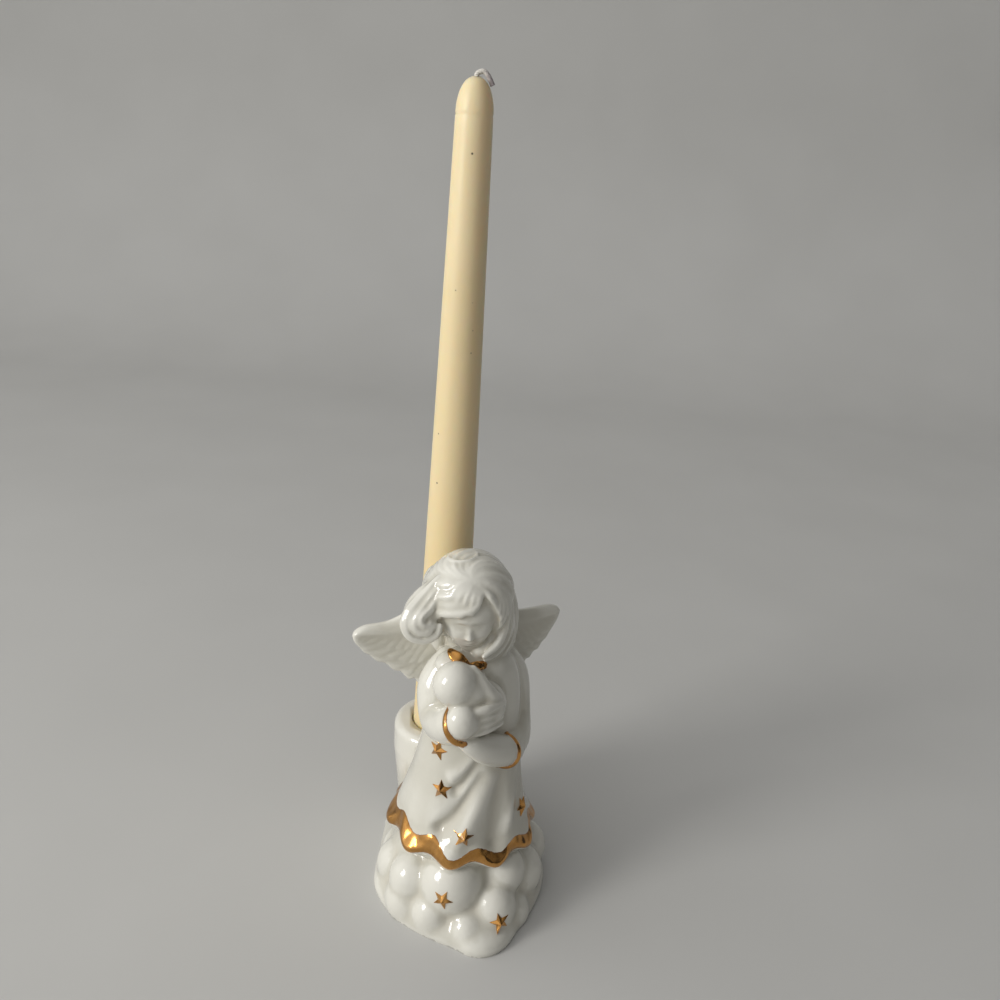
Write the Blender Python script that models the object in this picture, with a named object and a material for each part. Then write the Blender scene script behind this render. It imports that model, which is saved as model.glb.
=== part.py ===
"""Angel candle holder: a glazed porcelain angel child on a cloud, with a taper candle in a cup behind it.

The figure looks along -Y and the candle cup stands at +Y. The origin is on the flat sole, under the robe.
All sizes are in metres and +Z is up.
"""
from math import asin, atan2, cos, exp, hypot, pi, radians, sin

import bmesh
import bpy
from mathutils import Euler, Matrix, Vector

# Cloud base
BASE_HALF_WIDTH = 0.0355
BASE_SHIFT = 0.0005
BASE_FRONT = 0.0437
BASE_HEIGHT = 0.0300
BASE_TIP_SHIFT = 0.0035
VENT_DIAMETER = 0.0040
VENT_DEPTH = 0.0060
VENT_OFFSET = 0.0140

# Robe
HEM_HEIGHT = 0.0288
HEM_RADIUS = 0.0295
HEM_THICKNESS = 0.0026
HEM_WAVE = 0.0013
HEM_TILT = 0.0016
HEM_WAVES = 10
HEM_WAVE_START = radians(-29)
HEM_PLEAT = 0.0011
BODICE_RADIUS = 0.0175
ROBE_LEAN = 0.0066
SHOULDER_HEIGHT = 0.1080
SHOULDER_HALF_WIDTH = 0.0160
SLEEVE_RADIUS = 0.0074
HAND_RADIUS = 0.0066
CUFF_THICKNESS = 0.0025

# Head and hair
HEAD_RADIUS = 0.0164
HEAD_RISE = 0.0203
HEAD_FORWARD = 0.0020
HEAD_ASIDE = -0.0042
HEAD_YAW = radians(-19)
HEAD_BOW = radians(20)
HEAD_ROLL = radians(-4)
HAIR_RING_RADIUS = 0.0050
HAIR_RING_THICKNESS = 0.0012
HAIR_GROOVE = 0.00026

# Wings
WING_SPAN = 0.0425
WING_THICKNESS = 0.0050
WING_BACK = 0.0140

# Candle cup
CUP_OFFSET = 0.0310
CUP_RIM_HEIGHT = 0.0543
CUP_RIM_DIAMETER = 0.0368
CUP_FOOT_DIAMETER = 0.0310
SOCKET_DEPTH = 0.0240
RIM_ROUNDING = 0.0032
CUP_OVERHANG = 0.0009

# Candle and wick
CANDLE_DIAMETER = 0.0222
CANDLE_TOP_DIAMETER = 0.0124
CANDLE_LENGTH = 0.2660
CANDLE_POINT_LENGTH = 0.0112
CANDLE_FOOT_ROUNDING = 0.0012
WICK_DIAMETER = 0.0017
WICK_RISE = 0.0016
WICK_REACH = 0.0060
WICK_ROOT = 0.0050

# Raised stars
STAR_RADIUS = 0.0039
STAR_RISE = 0.0016
STAR_ROOT = 0.0009

CLEARANCE = 0.0003

# Fineness of the skins round the cloud, the dress with the arms, and the whole figurine
CLOUD_VOXEL = 0.0012
CLOUD_SOFTENING = 24
BODY_VOXEL = 0.0006
BODY_SOFTENING = 6
SCULPT_VOXEL = 0.0005
SCULPT_SOFTENING = 2
SCULPT_TRIANGLES = 12200

SEAT_HEIGHT = CUP_RIM_HEIGHT - SOCKET_DEPTH
BASE_BACK = CUP_OFFSET + CUP_RIM_DIAMETER / 2 - CUP_OVERHANG
HEAD_CENTRE = Vector((HEAD_ASIDE, -HEAD_FORWARD, SHOULDER_HEIGHT + HEAD_RISE))
HEAD_TURN = Euler((HEAD_BOW, HEAD_ROLL, HEAD_YAW), "XYZ").to_matrix()


def smooth_path(points, steps):
    """Points along a curve that passes smoothly through the given ones."""
    points = [Vector(point) for point in points]
    last = len(points) - 1
    path = []
    for i in range(last):
        before = points[max(i - 1, 0)]
        start, end = points[i], points[i + 1]
        after = points[min(i + 2, last)]
        for step in range(steps):
            t = step / steps
            path.append(0.5 * (2 * start + (end - before) * t
                               + (2 * before - 5 * start + 4 * end - after) * t * t
                               + (3 * start - before - 3 * end + after) * t ** 3))
    path.append(points[last])
    return path


def blend_table(table, place):
    """Value at a place along a table of (place, value) rows."""
    for (low, low_value), (high, high_value) in zip(table, table[1:]):
        if place <= high:
            t = max(0.0, (place - low) / (high - low))
            return low_value + (high_value - low_value) * t
    return table[-1][1]


def smooth_table(table, steps):
    """The same table with extra rows, so that its value turns smoothly at each row."""
    path = smooth_path([(place, value, 0) for place, value in table], steps)
    return [(point.x, point.y) for point in path]


def bump(distance, width):
    """A soft hill of height 1 that fades out over the width."""
    return exp(-(distance / width) ** 2)


def ease(value):
    """Runs smoothly from 0 to 1 as the value does."""
    t = max(0.0, min(1.0, value))
    return t * t * (3 - 2 * t)


def add_loft(shape, rings):
    """A closed skin through rings of equally many points, with a cap at each end."""
    rows = [[shape.verts.new(point) for point in ring] for ring in rings]
    count = len(rows[0])
    for lower, upper in zip(rows, rows[1:]):
        for i in range(count):
            j = (i + 1) % count
            shape.faces.new((lower[i], lower[j], upper[j], upper[i]))
    shape.faces.new(list(reversed(rows[0])))
    shape.faces.new(rows[-1])


def add_ball(shape, centre, radii, turn=(0, 0, 0), fineness=4):
    """A ball or egg."""
    rotation = Euler([radians(angle) for angle in turn], "XYZ").to_matrix()
    made = bmesh.ops.create_icosphere(shape, subdivisions=fineness, radius=1.0)
    for vert in made["verts"]:
        direction = vert.co.normalized()
        local = Vector([direction[i] * radii[i] for i in range(3)])
        vert.co = Vector(centre) + rotation @ local


def add_tube(shape, points, radii, sides=16, steps=8):
    """A tube with round ends along a smooth path; the radii are given at the path's points."""
    path = smooth_path(points, steps)
    sizes = [size.x for size in smooth_path([(radius, 0, 0) for radius in radii], steps)]
    across = (path[1] - path[0]).orthogonal().normalized()
    rings = []
    for i, point in enumerate(path):
        along = (path[min(i + 1, len(path) - 1)] - path[max(i - 1, 0)]).normalized()
        across = (across - along * across.dot(along)).normalized()
        up = along.cross(across)
        ring = [point + (across * cos(2 * pi * k / sides) + up * sin(2 * pi * k / sides)) * sizes[i]
                for k in range(sides)]
        rings.append(ring)
    add_loft(shape, rings)
    for end, size in ((path[0], sizes[0]), (path[-1], sizes[-1])):
        add_ball(shape, end, (size, size, size), fineness=3)


def add_turned(shape, profile, centre_x=0.0, centre_y=0.0, sides=48):
    """A turned body: profile rows are (radius, height) from the bottom up."""
    rings = []
    for radius, height in profile:
        ring = [(centre_x + radius * cos(2 * pi * k / sides),
                 centre_y + radius * sin(2 * pi * k / sides), height) for k in range(sides)]
        rings.append(ring)
    add_loft(shape, rings)


# Half of the base seen from above, as shares of its half width and of its depth to the front or the back
BASE_OUTLINE = (
    (0.0, -1.0), (0.20, -0.95), (0.37, -0.82), (0.59, -0.66), (0.81, -0.45), (0.95, -0.21),
    (0.985, 0.04), (0.91, 0.22), (0.78, 0.42), (0.65, 0.63), (0.48, 0.85), (0.0, 1.0),
)
# Sections of the base: height as a share of its height, then its size as shares to the sides, front and back
BASE_SECTIONS = (
    (0.0, 0.975, 0.975, 0.98), (0.05, 1.0, 1.0, 1.0), (0.14, 0.985, 0.98, 0.985), (0.24, 0.95, 0.915, 0.95),
    (0.36, 0.91, 0.82, 0.92), (0.55, 0.85, 0.70, 0.88), (0.78, 0.77, 0.60, 0.82), (1.0, 0.68, 0.54, 0.75),
)
# Cloud puffs: place and radii as shares of the base's half width (x), depth (y), height (z) and half width
PUFFS = (
    (-0.28, -0.41, 0.52, 0.35), (0.24, -0.46, 0.62, 0.27), (0.09, -0.61, 0.28, 0.27), (-0.20, -0.68, 0.12, 0.22),
    (-0.60, -0.17, 0.48, 0.27), (-0.66, -0.20, 0.18, 0.28), (-0.47, -0.44, 0.20, 0.25), (-0.68, 0.06, 0.34, 0.25),
    (0.50, -0.34, 0.38, 0.29), (0.70, -0.08, 0.38, 0.28), (0.72, 0.16, 0.44, 0.25), (0.28, -0.60, 0.10, 0.23),
    (-0.56, 0.26, 0.26, 0.23), (0.62, 0.40, 0.36, 0.27), (-0.34, 0.60, 0.26, 0.22), (0.42, 0.66, 0.34, 0.28),
)


def base_loop():
    """The base's outline on the table as a closed loop of points."""
    right = []
    for share_x, share_y in BASE_OUTLINE:
        depth = BASE_FRONT if share_y < 0 else BASE_BACK
        tip_shift = BASE_TIP_SHIFT * max(0.0, -share_y) ** 3
        right.append((share_x, share_y * depth, tip_shift))
    left = [(-x, y, shift) for x, y, shift in reversed(right[1:-1])]
    corners = [(x * BASE_HALF_WIDTH + BASE_SHIFT - shift, y, 0) for x, y, shift in right + left]
    closed = corners[-2:] + corners + corners[:2]
    steps = 6
    path = smooth_path(closed, steps)
    return path[2 * steps:-2 * steps - 1 + steps]


def add_base(shape):
    """The smooth skirt of the cloud, from just under the sole to under the robe, and its round puffs."""
    loop = base_loop()
    below_sole = -0.006
    rings = [[(p.x, p.y, below_sole) for p in loop]]
    columns = [smooth_table([(row[0], row[column]) for row in BASE_SECTIONS], 4) for column in (1, 2, 3)]
    for (height_share, aside), (_, ahead), (_, behind) in zip(*columns):
        rings.append([(p.x * aside, p.y * (ahead if p.y < 0 else behind), BASE_HEIGHT * height_share) for p in loop])
    add_loft(shape, rings)
    for share_x, share_y, share_z, size in PUFFS:
        depth = BASE_FRONT if share_y < 0 else BASE_BACK
        radius = size * BASE_HALF_WIDTH
        centre = (share_x * BASE_HALF_WIDTH, share_y * depth, share_z * BASE_HEIGHT)
        add_ball(shape, centre, (radius, radius, radius * 1.1))


# Robe radius from the hem up to the shoulders, as shares of the height and of hem and bodice radius
ROBE_SECTIONS = (
    (0.0, 1.0), (0.03, 0.985), (0.07, 0.925), (0.11, 0.87), (0.15, 0.845), (0.24, 0.79), (0.33, 0.735),
    (0.43, 0.69), (0.60, 0.625), (0.80, 0.575), (0.92, 0.49), (1.0, 0.33),
)
# Folds of the robe: start angle and height, end angle and height, half width, rise, all but angles as shares
ROBE_FOLDS = (
    (-12, 0.56, -36, 0.43, 0.032, 0.070),
    (-7, 0.52, -32, 0.37, 0.026, -0.105),
    (-6, 0.43, -42, 0.14, 0.028, -0.125),
    (6, 0.42, -29, 0.09, 0.048, 0.115),
    (17, 0.43, 7, 0.12, 0.045, -0.095),
    (27, 0.42, 20, 0.14, 0.045, 0.045),
    (44, 0.42, 22, 0.18, 0.022, 0.035),
    (75, 0.45, 62, 0.08, 0.060, -0.050),
    (115, 0.45, 105, 0.05, 0.060, -0.045),
    (-80, 0.48, -88, 0.06, 0.060, -0.035),
    (-120, 0.50, -128, 0.05, 0.060, -0.050),
)


def hem_wave(angle):
    """How far the hem swings at an angle around the robe, from -1 to 1."""
    return cos(HEM_WAVES * (angle - HEM_WAVE_START))


def hem_height(angle):
    """Height of the hem's lower edge at an angle; 0 is the front and positive is the figure's left."""
    return HEM_HEIGHT - HEM_WAVE * hem_wave(angle) - HEM_TILT * sin(angle)


def fold_relief(angle, share):
    """Rise or dip of the robe's folds at an angle and a share of its height, as a share of the radius."""
    total = 0.0
    for start, start_share, end, end_share, width, rise in ROBE_FOLDS:
        x0, y0 = radians(start) * 0.3, start_share
        x1, y1 = radians(end) * 0.3, end_share
        dx, dy = x1 - x0, y1 - y0
        x, y = angle * 0.3 - x0, share - y0
        t = min(1.0, max(0.0, (x * dx + y * dy) / (dx * dx + dy * dy)))
        total += rise * (0.35 + 0.65 * t) * bump(hypot(x - t * dx, y - t * dy), width)
    return total


def robe_centre_y(share):
    """The robe leans forward towards the shoulders."""
    return -ROBE_LEAN * share


def add_robe(shape):
    """The robe from its waved hem to the shoulders, with slanting folds in front."""
    sides, levels = 180, 70
    sections = smooth_table(ROBE_SECTIONS, 6)
    inner = 0.80
    rings = [[(HEM_RADIUS * inner * sin(2 * pi * k / sides), -HEM_RADIUS * inner * cos(2 * pi * k / sides),
               HEM_HEIGHT - 0.004) for k in range(sides)]]
    for level in range(levels + 1):
        share = (level / levels) ** 1.3
        ring = []
        for k in range(sides):
            angle = 2 * pi * k / sides
            signed = angle if angle <= pi else angle - 2 * pi
            lower = hem_height(signed)
            height = lower + (SHOULDER_HEIGHT - lower) * share
            radius = blend_table(sections, share) * HEM_RADIUS
            radius += (BODICE_RADIUS - 0.604 * HEM_RADIUS) * min(1.0, share / 0.6)
            hem_share = (height - lower) / HEM_THICKNESS
            radius -= 0.0010 * bump(hem_share, 0.5)
            radius += HEM_PLEAT * hem_wave(signed) * bump(hem_share - 0.5, 1.5)
            radius *= 1 + fold_relief(signed, share)
            depth = radius * (1.0 - 0.22 * share)
            ring.append((radius * sin(angle), robe_centre_y(share) - depth * cos(angle), height))
        rings.append(ring)
    add_loft(shape, rings)


# Cuffs: place of the rim's centre on the bust, the way it faces and its radius
CUFFS = (
    ((-0.0136, 0.0258, -0.0156), (0.36, -0.80, 0.48), 0.0066),
    ((0.0064, 0.0200, -0.0352), (-0.72, -0.64, 0.27), 0.0056),
)
COLLAR_LOBES = (
    ((-0.0138, 0.0100, 0.0049), (-0.0126, 0.0130, 0.0037), (-0.0103, 0.0150, 0.0021), (-0.0074, 0.0155, 0.0003)),
    ((-0.0074, 0.0155, 0.0003), (-0.0058, 0.0158, 0.0008), (-0.0038, 0.0152, 0.0002), (-0.0016, 0.0138, -0.0012)),
)
COLLAR_WIDTH = 0.0023
COLLAR_THICKNESS = 0.0016


def at_bust(x, y, z):
    """A place on the upper body: across, forward and up from the middle of the shoulders."""
    return Vector((x, -y, SHOULDER_HEIGHT + z))


def ring_path(centre, facing, radius, turns=24):
    """Points round a circle about an axis."""
    across = facing.orthogonal().normalized() * radius
    return [centre + Matrix.Rotation(2 * pi * k / turns, 3, facing) @ across for k in range(turns + 1)]


def add_sleeves(shape):
    """Both sleeves: shoulder, elbow and the wide cuff that the hand comes out of."""
    r = SLEEVE_RADIUS
    w = SHOULDER_HALF_WIDTH
    add_tube(shape, (at_bust(-0.60 * w, 0.002, -0.006), at_bust(-0.88 * w, 0.003, -0.014),
                     at_bust(-0.90 * w, 0.008, -0.024), at_bust(-0.92 * w, 0.017, -0.0215),
                     at_bust(-0.92 * w, 0.0235, -0.0165)), (r * 0.85, r, r * 1.04, r, r * 0.88))
    add_tube(shape, (at_bust(0.60 * w, 0.002, -0.006), at_bust(0.92 * w, 0.001, -0.016),
                     at_bust(0.98 * w, 0.003, -0.030), at_bust(0.84 * w, 0.011, -0.0360),
                     at_bust(0.52 * w, 0.0180, -0.0355)), (r * 0.85, r, r * 1.04, r * 0.94, r * 0.80))


def add_cuffs(shape):
    """The raised rims of both sleeves."""
    for centre, facing, radius in CUFFS:
        path = ring_path(at_bust(*centre), Vector(facing), radius)
        add_tube(shape, path, [CUFF_THICKNESS / 2] * len(path), sides=12, steps=2)


def add_hands(shape):
    """The upper hand spread over the bundle and the lower hand under it, each with fingers."""
    r = HAND_RADIUS
    add_ball(shape, at_bust(-0.0140, 0.0274, -0.0136), (r * 0.90, r * 0.86, r))
    add_ball(shape, at_bust(-0.0066, 0.0240, -0.0134), (0.0090, 0.0046, 0.0060))
    add_tube(shape, (at_bust(0.0100, 0.0180, -0.0365), at_bust(0.0039, 0.0218, -0.0333),
                     at_bust(-0.0038, 0.0256, -0.0282), at_bust(-0.0098, 0.0276, -0.0238),
                     at_bust(-0.0132, 0.0278, -0.0214)), (r * 0.82, r * 0.90, r * 0.84, r * 0.62, r * 0.42))


def add_fingers(shape):
    """The fingers of the upper hand, laid flat over the bundle."""
    for finger in range(4):
        drop = finger * 0.0027
        add_tube(shape, (at_bust(-0.0112, 0.0288, -0.0100 - drop), at_bust(-0.0050, 0.0282, -0.0096 - drop),
                         at_bust(0.0016, 0.0246, -0.0106 - drop)), (0.0018, 0.0018, 0.0014), sides=16)


def add_bundle(shape):
    """The round-headed bundle held against the figure's right shoulder, with a soft fold beside its head."""
    add_ball(shape, at_bust(-0.0147, 0.0212, -0.0024), (0.0075, 0.0072, 0.0078))
    add_ball(shape, at_bust(-0.0104, 0.0206, -0.0058), (0.0084, 0.0074, 0.0084))
    add_ball(shape, at_bust(-0.0040, 0.0190, -0.0138), (0.0100, 0.0074, 0.0092), turn=(0, 36, 0))
    add_tube(shape, (at_bust(-0.0086, 0.0215, 0.0028), at_bust(-0.0058, 0.0240, -0.0026),
                     at_bust(-0.0022, 0.0240, -0.0078), at_bust(0.0022, 0.0215, -0.0118)),
             (0.0014, 0.0026, 0.0030, 0.0018))


def add_collar(shape):
    """Two leaf-shaped collar lobes that meet in a V under the chin, and the neck behind them."""
    add_tube(shape, (at_bust(-0.0020, -0.0020, -0.004), at_bust(-0.0040, 0.0, 0.010)), (0.0078, 0.0070))
    add_ball(shape, at_bust(-0.0075, 0.0085, -0.0025), (0.0100, 0.0066, 0.0050))
    facing = Vector((-0.15, -0.80, 0.58)).normalized()
    for lobe in COLLAR_LOBES:
        path = smooth_path([at_bust(*place) for place in lobe], 8)
        rings = []
        for i, point in enumerate(path[1:-1], 1):
            along = (path[i + 1] - path[i - 1]).normalized()
            side = along.cross(facing).normalized()
            width = COLLAR_WIDTH * sin(pi * i / (len(path) - 1)) ** 0.7
            ring = []
            for k in range(16):
                turn = 2 * pi * k / 16
                hollow = 1 - 0.75 * bump(cos(turn), 0.55)
                ring.append(point + side * width * cos(turn) + facing * COLLAR_THICKNESS / 2 * sin(turn)
                            * (hollow if sin(turn) > 0 else 2.0))
            rings.append(ring)
        add_loft(shape, rings)


# The face's opening in the hair, as angles across and up from the middle of the face
FACE_WINDOW = (
    (-41, 4), (-37, 9), (-29, 12), (-20, 16), (-11, 16), (-4, 21), (4, 20), (10, 26), (14, 28), (19, 39),
    (25, 51), (29, 44), (35, 24), (40, 6), (41, -14), (37, -36), (28, -60), (10, -76), (-12, -76), (-28, -60),
    (-35, -40), (-40, -18),
)
WHORL = (radians(15), radians(64))
# The face's distance from the head's centre: angle up from the middle of the face, share of the head's radius
FACE_PROFILE = (
    (-91, 0.55), (-78, 0.66), (-68, 0.82), (-61, 0.98), (-55, 1.09), (-50, 1.150), (-44, 1.160), (-38, 1.125),
    (-32, 1.085), (-26, 1.045), (-20, 1.005), (-14, 0.965), (-8, 0.935), (0, 0.905), (10, 0.915), (20, 0.930),
    (40, 0.925), (91, 0.90),
)
FACE_CURVE = smooth_table(FACE_PROFILE, 4)
# Face forms: angle across, angle up, width across, width up, rise; those off the middle are on both sides
FACE_FORMS = (
    (0, -16.5, 4.0, 3.8, 0.00150), (0, -9.0, 3.4, 5.0, 0.00070), (3.8, -18.3, 2.3, 2.1, 0.00050),
    (11.5, -1.0, 7.0, 5.0, -0.00065), (11.5, -2.2, 5.2, 3.4, 0.00055), (11.5, -5.4, 5.4, 0.9, -0.00034),
    (11, 7.0, 8.0, 2.6, 0.00022), (21, -19, 9, 9, 0.00060),
    (2.2, -27.2, 3.2, 1.4, 0.00042), (0, -29.4, 5.6, 0.8, -0.00055), (0, -31.4, 4.0, 1.5, 0.00055),
    (0, -24.5, 1.4, 2.0, -0.00018), (0, -35.6, 4.8, 2.2, -0.00045), (0, -43.5, 7.5, 5.0, 0.00060),
)


def at_head(x, y, z):
    """A place on the head: across, forward and up from its centre, as shares of its radius."""
    return HEAD_CENTRE + HEAD_TURN @ Vector((x, -y, z)) * HEAD_RADIUS


def on_head(across, up, rise=0.0):
    """A place on the hair at angles in degrees from the middle of the face, raised by a share of the radius."""
    a, b = radians(across), radians(up)
    return at_head(sin(a) * cos(b) * (1 + rise), cos(a) * cos(b) * (1 + rise), sin(b) * (1 + rise))


def inside_window(across, up):
    """Angle in degrees from the edge of the face's opening, positive inside it."""
    nearest = 180.0
    inside = False
    count = len(FACE_WINDOW)
    for i in range(count):
        x0, y0 = FACE_WINDOW[i]
        x1, y1 = FACE_WINDOW[(i + 1) % count]
        if (y0 > up) != (y1 > up) and across < x0 + (up - y0) * (x1 - x0) / (y1 - y0):
            inside = not inside
        dx, dy = x1 - x0, y1 - y0
        t = min(1.0, max(0.0, ((across - x0) * dx + (up - y0) * dy) / (dx * dx + dy * dy)))
        nearest = min(nearest, hypot(across - x0 - t * dx, up - y0 - t * dy))
    return nearest if inside else -nearest


def face_distance(across, up):
    """Distance of the face's skin from the head's centre, with brow, eyelids, nose, cheeks, lips and chin."""
    aside = (across / 40) ** 2
    jaw = -55 + 18 * aside
    narrowing = 0.045 + 0.0055 * max(0.0, -up - 5)
    total = HEAD_RADIUS * (blend_table(FACE_CURVE, up) - narrowing * aside)
    total *= 1 - 0.30 * ease((jaw - up) / 20)
    shrink = cos(radians(up))
    for at_across, at_up, width, height, rise in FACE_FORMS:
        for side in ((1,) if at_across == 0 else (-1, 1)):
            total += rise * bump(hypot((across - side * at_across) * shrink / width, (up - at_up) / height), 1.0)
    return total


def hair_distance(direction):
    """Distance of the hair's skin from the head's centre, with strands swept from the whorl."""
    pole = Vector((sin(WHORL[0]) * cos(WHORL[1]), -cos(WHORL[0]) * cos(WHORL[1]), sin(WHORL[1])))
    away = direction.angle(pole)
    side = direction.cross(pole)
    around = atan2(side.z, side.x) + 0.9 * away
    wide = sin(7 * around + 1.6 * sin(2 * around)) * HAIR_GROOVE
    return HEAD_RADIUS + wide * min(1.0, away * 1.8)


def add_head(shape):
    """Face, hair cap and the small ring on the crown."""
    made = bmesh.ops.create_icosphere(shape, subdivisions=6, radius=1.0)
    for vert in made["verts"]:
        direction = vert.co.normalized()
        across = atan2(direction.x, -direction.y) * 180 / pi
        up = asin(max(-1.0, min(1.0, direction.z))) * 180 / pi
        distance = hair_distance(direction)
        if abs(across) < 65 and up < 70:
            edge = inside_window(across, up)
            opened = 1 / (1 + exp(-edge * 1.5))
            if opened > 0.001:
                distance += (face_distance(across, up) - distance) * opened
        vert.co = HEAD_CENTRE + HEAD_TURN @ (direction * distance)
    crown = HEAD_CENTRE + Vector((-0.16, 0.06, 0.925)) * HEAD_RADIUS
    path = ring_path(crown, Vector((-0.12, 0.10, 1.0)), HAIR_RING_RADIUS)
    add_tube(shape, path, [HAIR_RING_THICKNESS / 2] * len(path), sides=12, steps=2)


# Fringe locks: angles across and up on the head where each starts, bends and ends
FRINGE = (
    ((24, 54), (17, 41), (9, 26)), ((21, 57), (8, 43), (-1, 22)), ((17, 61), (-2, 46), (-13, 18)),
    ((12, 64), (-14, 48), (-25, 16)), ((6, 67), (-27, 50), (-36, 12)), ((26, 52), (35, 38), (42, 14)),
)
FRINGE_SIZES = (0.04, 0.085, 0.040)
FRINGE_SINK = -0.045
# Hair locks: places across, forward and up from the head's centre with the lock's radius there, in head radii
LOCKS = (
    ((0.46, 0.66, 0.40, 0.07), (0.56, 0.68, 0.10, 0.10), (0.62, 0.66, -0.25, 0.11), (0.60, 0.64, -0.62, 0.11),
     (0.42, 0.72, -0.90, 0.10), (0.10, 0.84, -1.06, 0.06)),
    ((0.50, 0.44, -0.10, 0.16), (0.54, 0.42, -0.55, 0.20), (0.40, 0.44, -0.95, 0.22), (0.10, 0.52, -1.12, 0.18)),
    ((0.62, 0.52, 0.34, 0.08), (0.70, 0.56, 0.00, 0.11), (0.75, 0.54, -0.42, 0.12), (0.70, 0.54, -0.84, 0.12),
     (0.48, 0.64, -1.10, 0.10), (0.14, 0.80, -1.18, 0.05)),
    ((0.76, 0.36, 0.24, 0.10), (0.84, 0.38, -0.12, 0.14), (0.88, 0.36, -0.59, 0.15), (0.82, 0.38, -1.03, 0.14),
     (0.58, 0.54, -1.26, 0.11), (0.21, 0.72, -1.30, 0.05)),
    ((0.86, 0.12, 0.16, 0.12), (0.95, 0.12, -0.30, 0.17), (0.99, 0.12, -0.80, 0.18), (0.92, 0.18, -1.22, 0.16),
     (0.68, 0.36, -1.42, 0.12), (0.38, 0.58, -1.42, 0.06)),
    ((0.80, -0.14, 0.10, 0.20), (0.90, -0.16, -0.44, 0.24), (0.94, -0.12, -0.95, 0.22), (0.86, -0.02, -1.36, 0.16)),
    ((-0.80, 0.02, 0.34, 0.16), (-1.02, 0.04, 0.08, 0.24), (-1.18, 0.08, -0.22, 0.28), (-1.10, 0.12, -0.52, 0.25),
     (-0.80, 0.14, -0.66, 0.18)),
    ((-0.84, 0.16, 0.30, 0.14), (-0.96, 0.22, 0.02, 0.20), (-0.98, 0.28, -0.28, 0.22), (-0.90, 0.32, -0.46, 0.16)),
    ((-0.88, 0.12, 0.38, 0.09), (-1.12, 0.16, 0.12, 0.12), (-1.36, 0.20, -0.10, 0.135), (-1.47, 0.26, -0.36, 0.135),
     (-1.37, 0.33, -0.60, 0.13), (-1.10, 0.41, -0.69, 0.12), (-0.86, 0.49, -0.55, 0.10), (-0.80, 0.53, -0.34, 0.06)),
    ((-0.86, 0.22, 0.26, 0.09), (-1.07, 0.28, 0.05, 0.115), (-1.25, 0.34, -0.13, 0.115), (-1.33, 0.38, -0.31, 0.115),
     (-1.22, 0.42, -0.46, 0.11), (-1.04, 0.47, -0.47, 0.10), (-0.93, 0.51, -0.32, 0.06)),
    ((-0.85, 0.30, 0.14, 0.09), (-1.02, 0.37, -0.01, 0.11), (-1.17, 0.42, -0.13, 0.105), (-1.21, 0.45, -0.24, 0.095),
     (-1.12, 0.48, -0.32, 0.085), (-1.01, 0.51, -0.27, 0.05)),
    ((0.42, -0.56, 0.20, 0.34), (0.50, -0.62, -0.50, 0.34), (0.44, -0.52, -1.05, 0.28), (0.34, -0.42, -1.45, 0.14)),
    ((-0.02, -0.62, 0.20, 0.36), (-0.04, -0.72, -0.55, 0.36), (-0.02, -0.60, -1.15, 0.30),
     (0.00, -0.48, -1.60, 0.14)),
    ((-0.48, -0.54, 0.20, 0.34), (-0.56, -0.60, -0.50, 0.34), (-0.50, -0.50, -1.05, 0.28),
     (-0.42, -0.40, -1.45, 0.14)),
)


def beside_head(x, y, z):
    """A place beside the head, in head radii across, forward and up from its centre."""
    return HEAD_CENTRE + Vector((x, -y, z)) * HEAD_RADIUS


def add_locks(shape):
    """Fringe, long locks beside the face, the curls blown to the figure's right, and the hair down the back."""
    for lock in FRINGE:
        places = [on_head(across, up, FRINGE_SINK) for across, up in lock]
        add_tube(shape, places, [size * HEAD_RADIUS for size in FRINGE_SIZES])
    for lock in LOCKS:
        places = [beside_head(x, y, z) for x, y, z, size in lock]
        add_tube(shape, places, [size * HEAD_RADIUS for x, y, z, size in lock])


# Wing edges from root to tip: share of the span, height above the shoulders, share of the backward sweep
WINGS = {
    -1: (((0.14, 0.0150, 0.45), (0.38, 0.0132, 0.72), (0.55, 0.0080, 0.88), (0.70, 0.0050, 0.96),
          (0.88, 0.0046, 1.0), (1.0, 0.0034, 1.0)),
         ((0.14, -0.0225, 0.45), (0.34, -0.0215, 0.70), (0.46, -0.0200, 0.80), (0.64, -0.0145, 0.90),
          (0.84, -0.0090, 1.0), (0.955, -0.0045, 1.0))),
    1: (((0.14, 0.0085, 0.45), (0.36, 0.0060, 0.70), (0.53, 0.0038, 0.85), (0.70, 0.0030, 0.95),
         (0.88, 0.0034, 1.0), (1.0, 0.0034, 1.0)),
        ((0.14, -0.0265, 0.45), (0.40, -0.0255, 0.70), (0.60, -0.0220, 0.85), (0.70, -0.0185, 0.90),
         (0.82, -0.0142, 0.97), (0.945, -0.0070, 1.0))),
}
# Rows of feathers: where each ends along the chord, feathers along the span, slant and rise
FEATHER_ROWS = ((0.30, 0, 0.0, 0.0), (0.50, 11, 0.10, 0.00024), (0.72, 9, 0.16, 0.00030), (1.01, 8, 0.24, 0.00036))


def feather_relief(span, chord):
    """Rise of the wing's skin: each feather swells to its tip, and a groove parts it from the next."""
    start = 0.0
    for end, count, slant, rise in FEATHER_ROWS:
        if chord < end or end > 1:
            if count == 0:
                return 0.0
            along = (chord - start) / (end - start)
            place = (span - slant * along) * count + start * 7
            side = abs(2 * (place - int(place // 1)) - 1)
            return rise * (0.25 + 0.75 * along) * (1 - side ** 3) - rise * 0.5 * bump(1 - side, 0.22)
        start = end
    return 0.0


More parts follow.
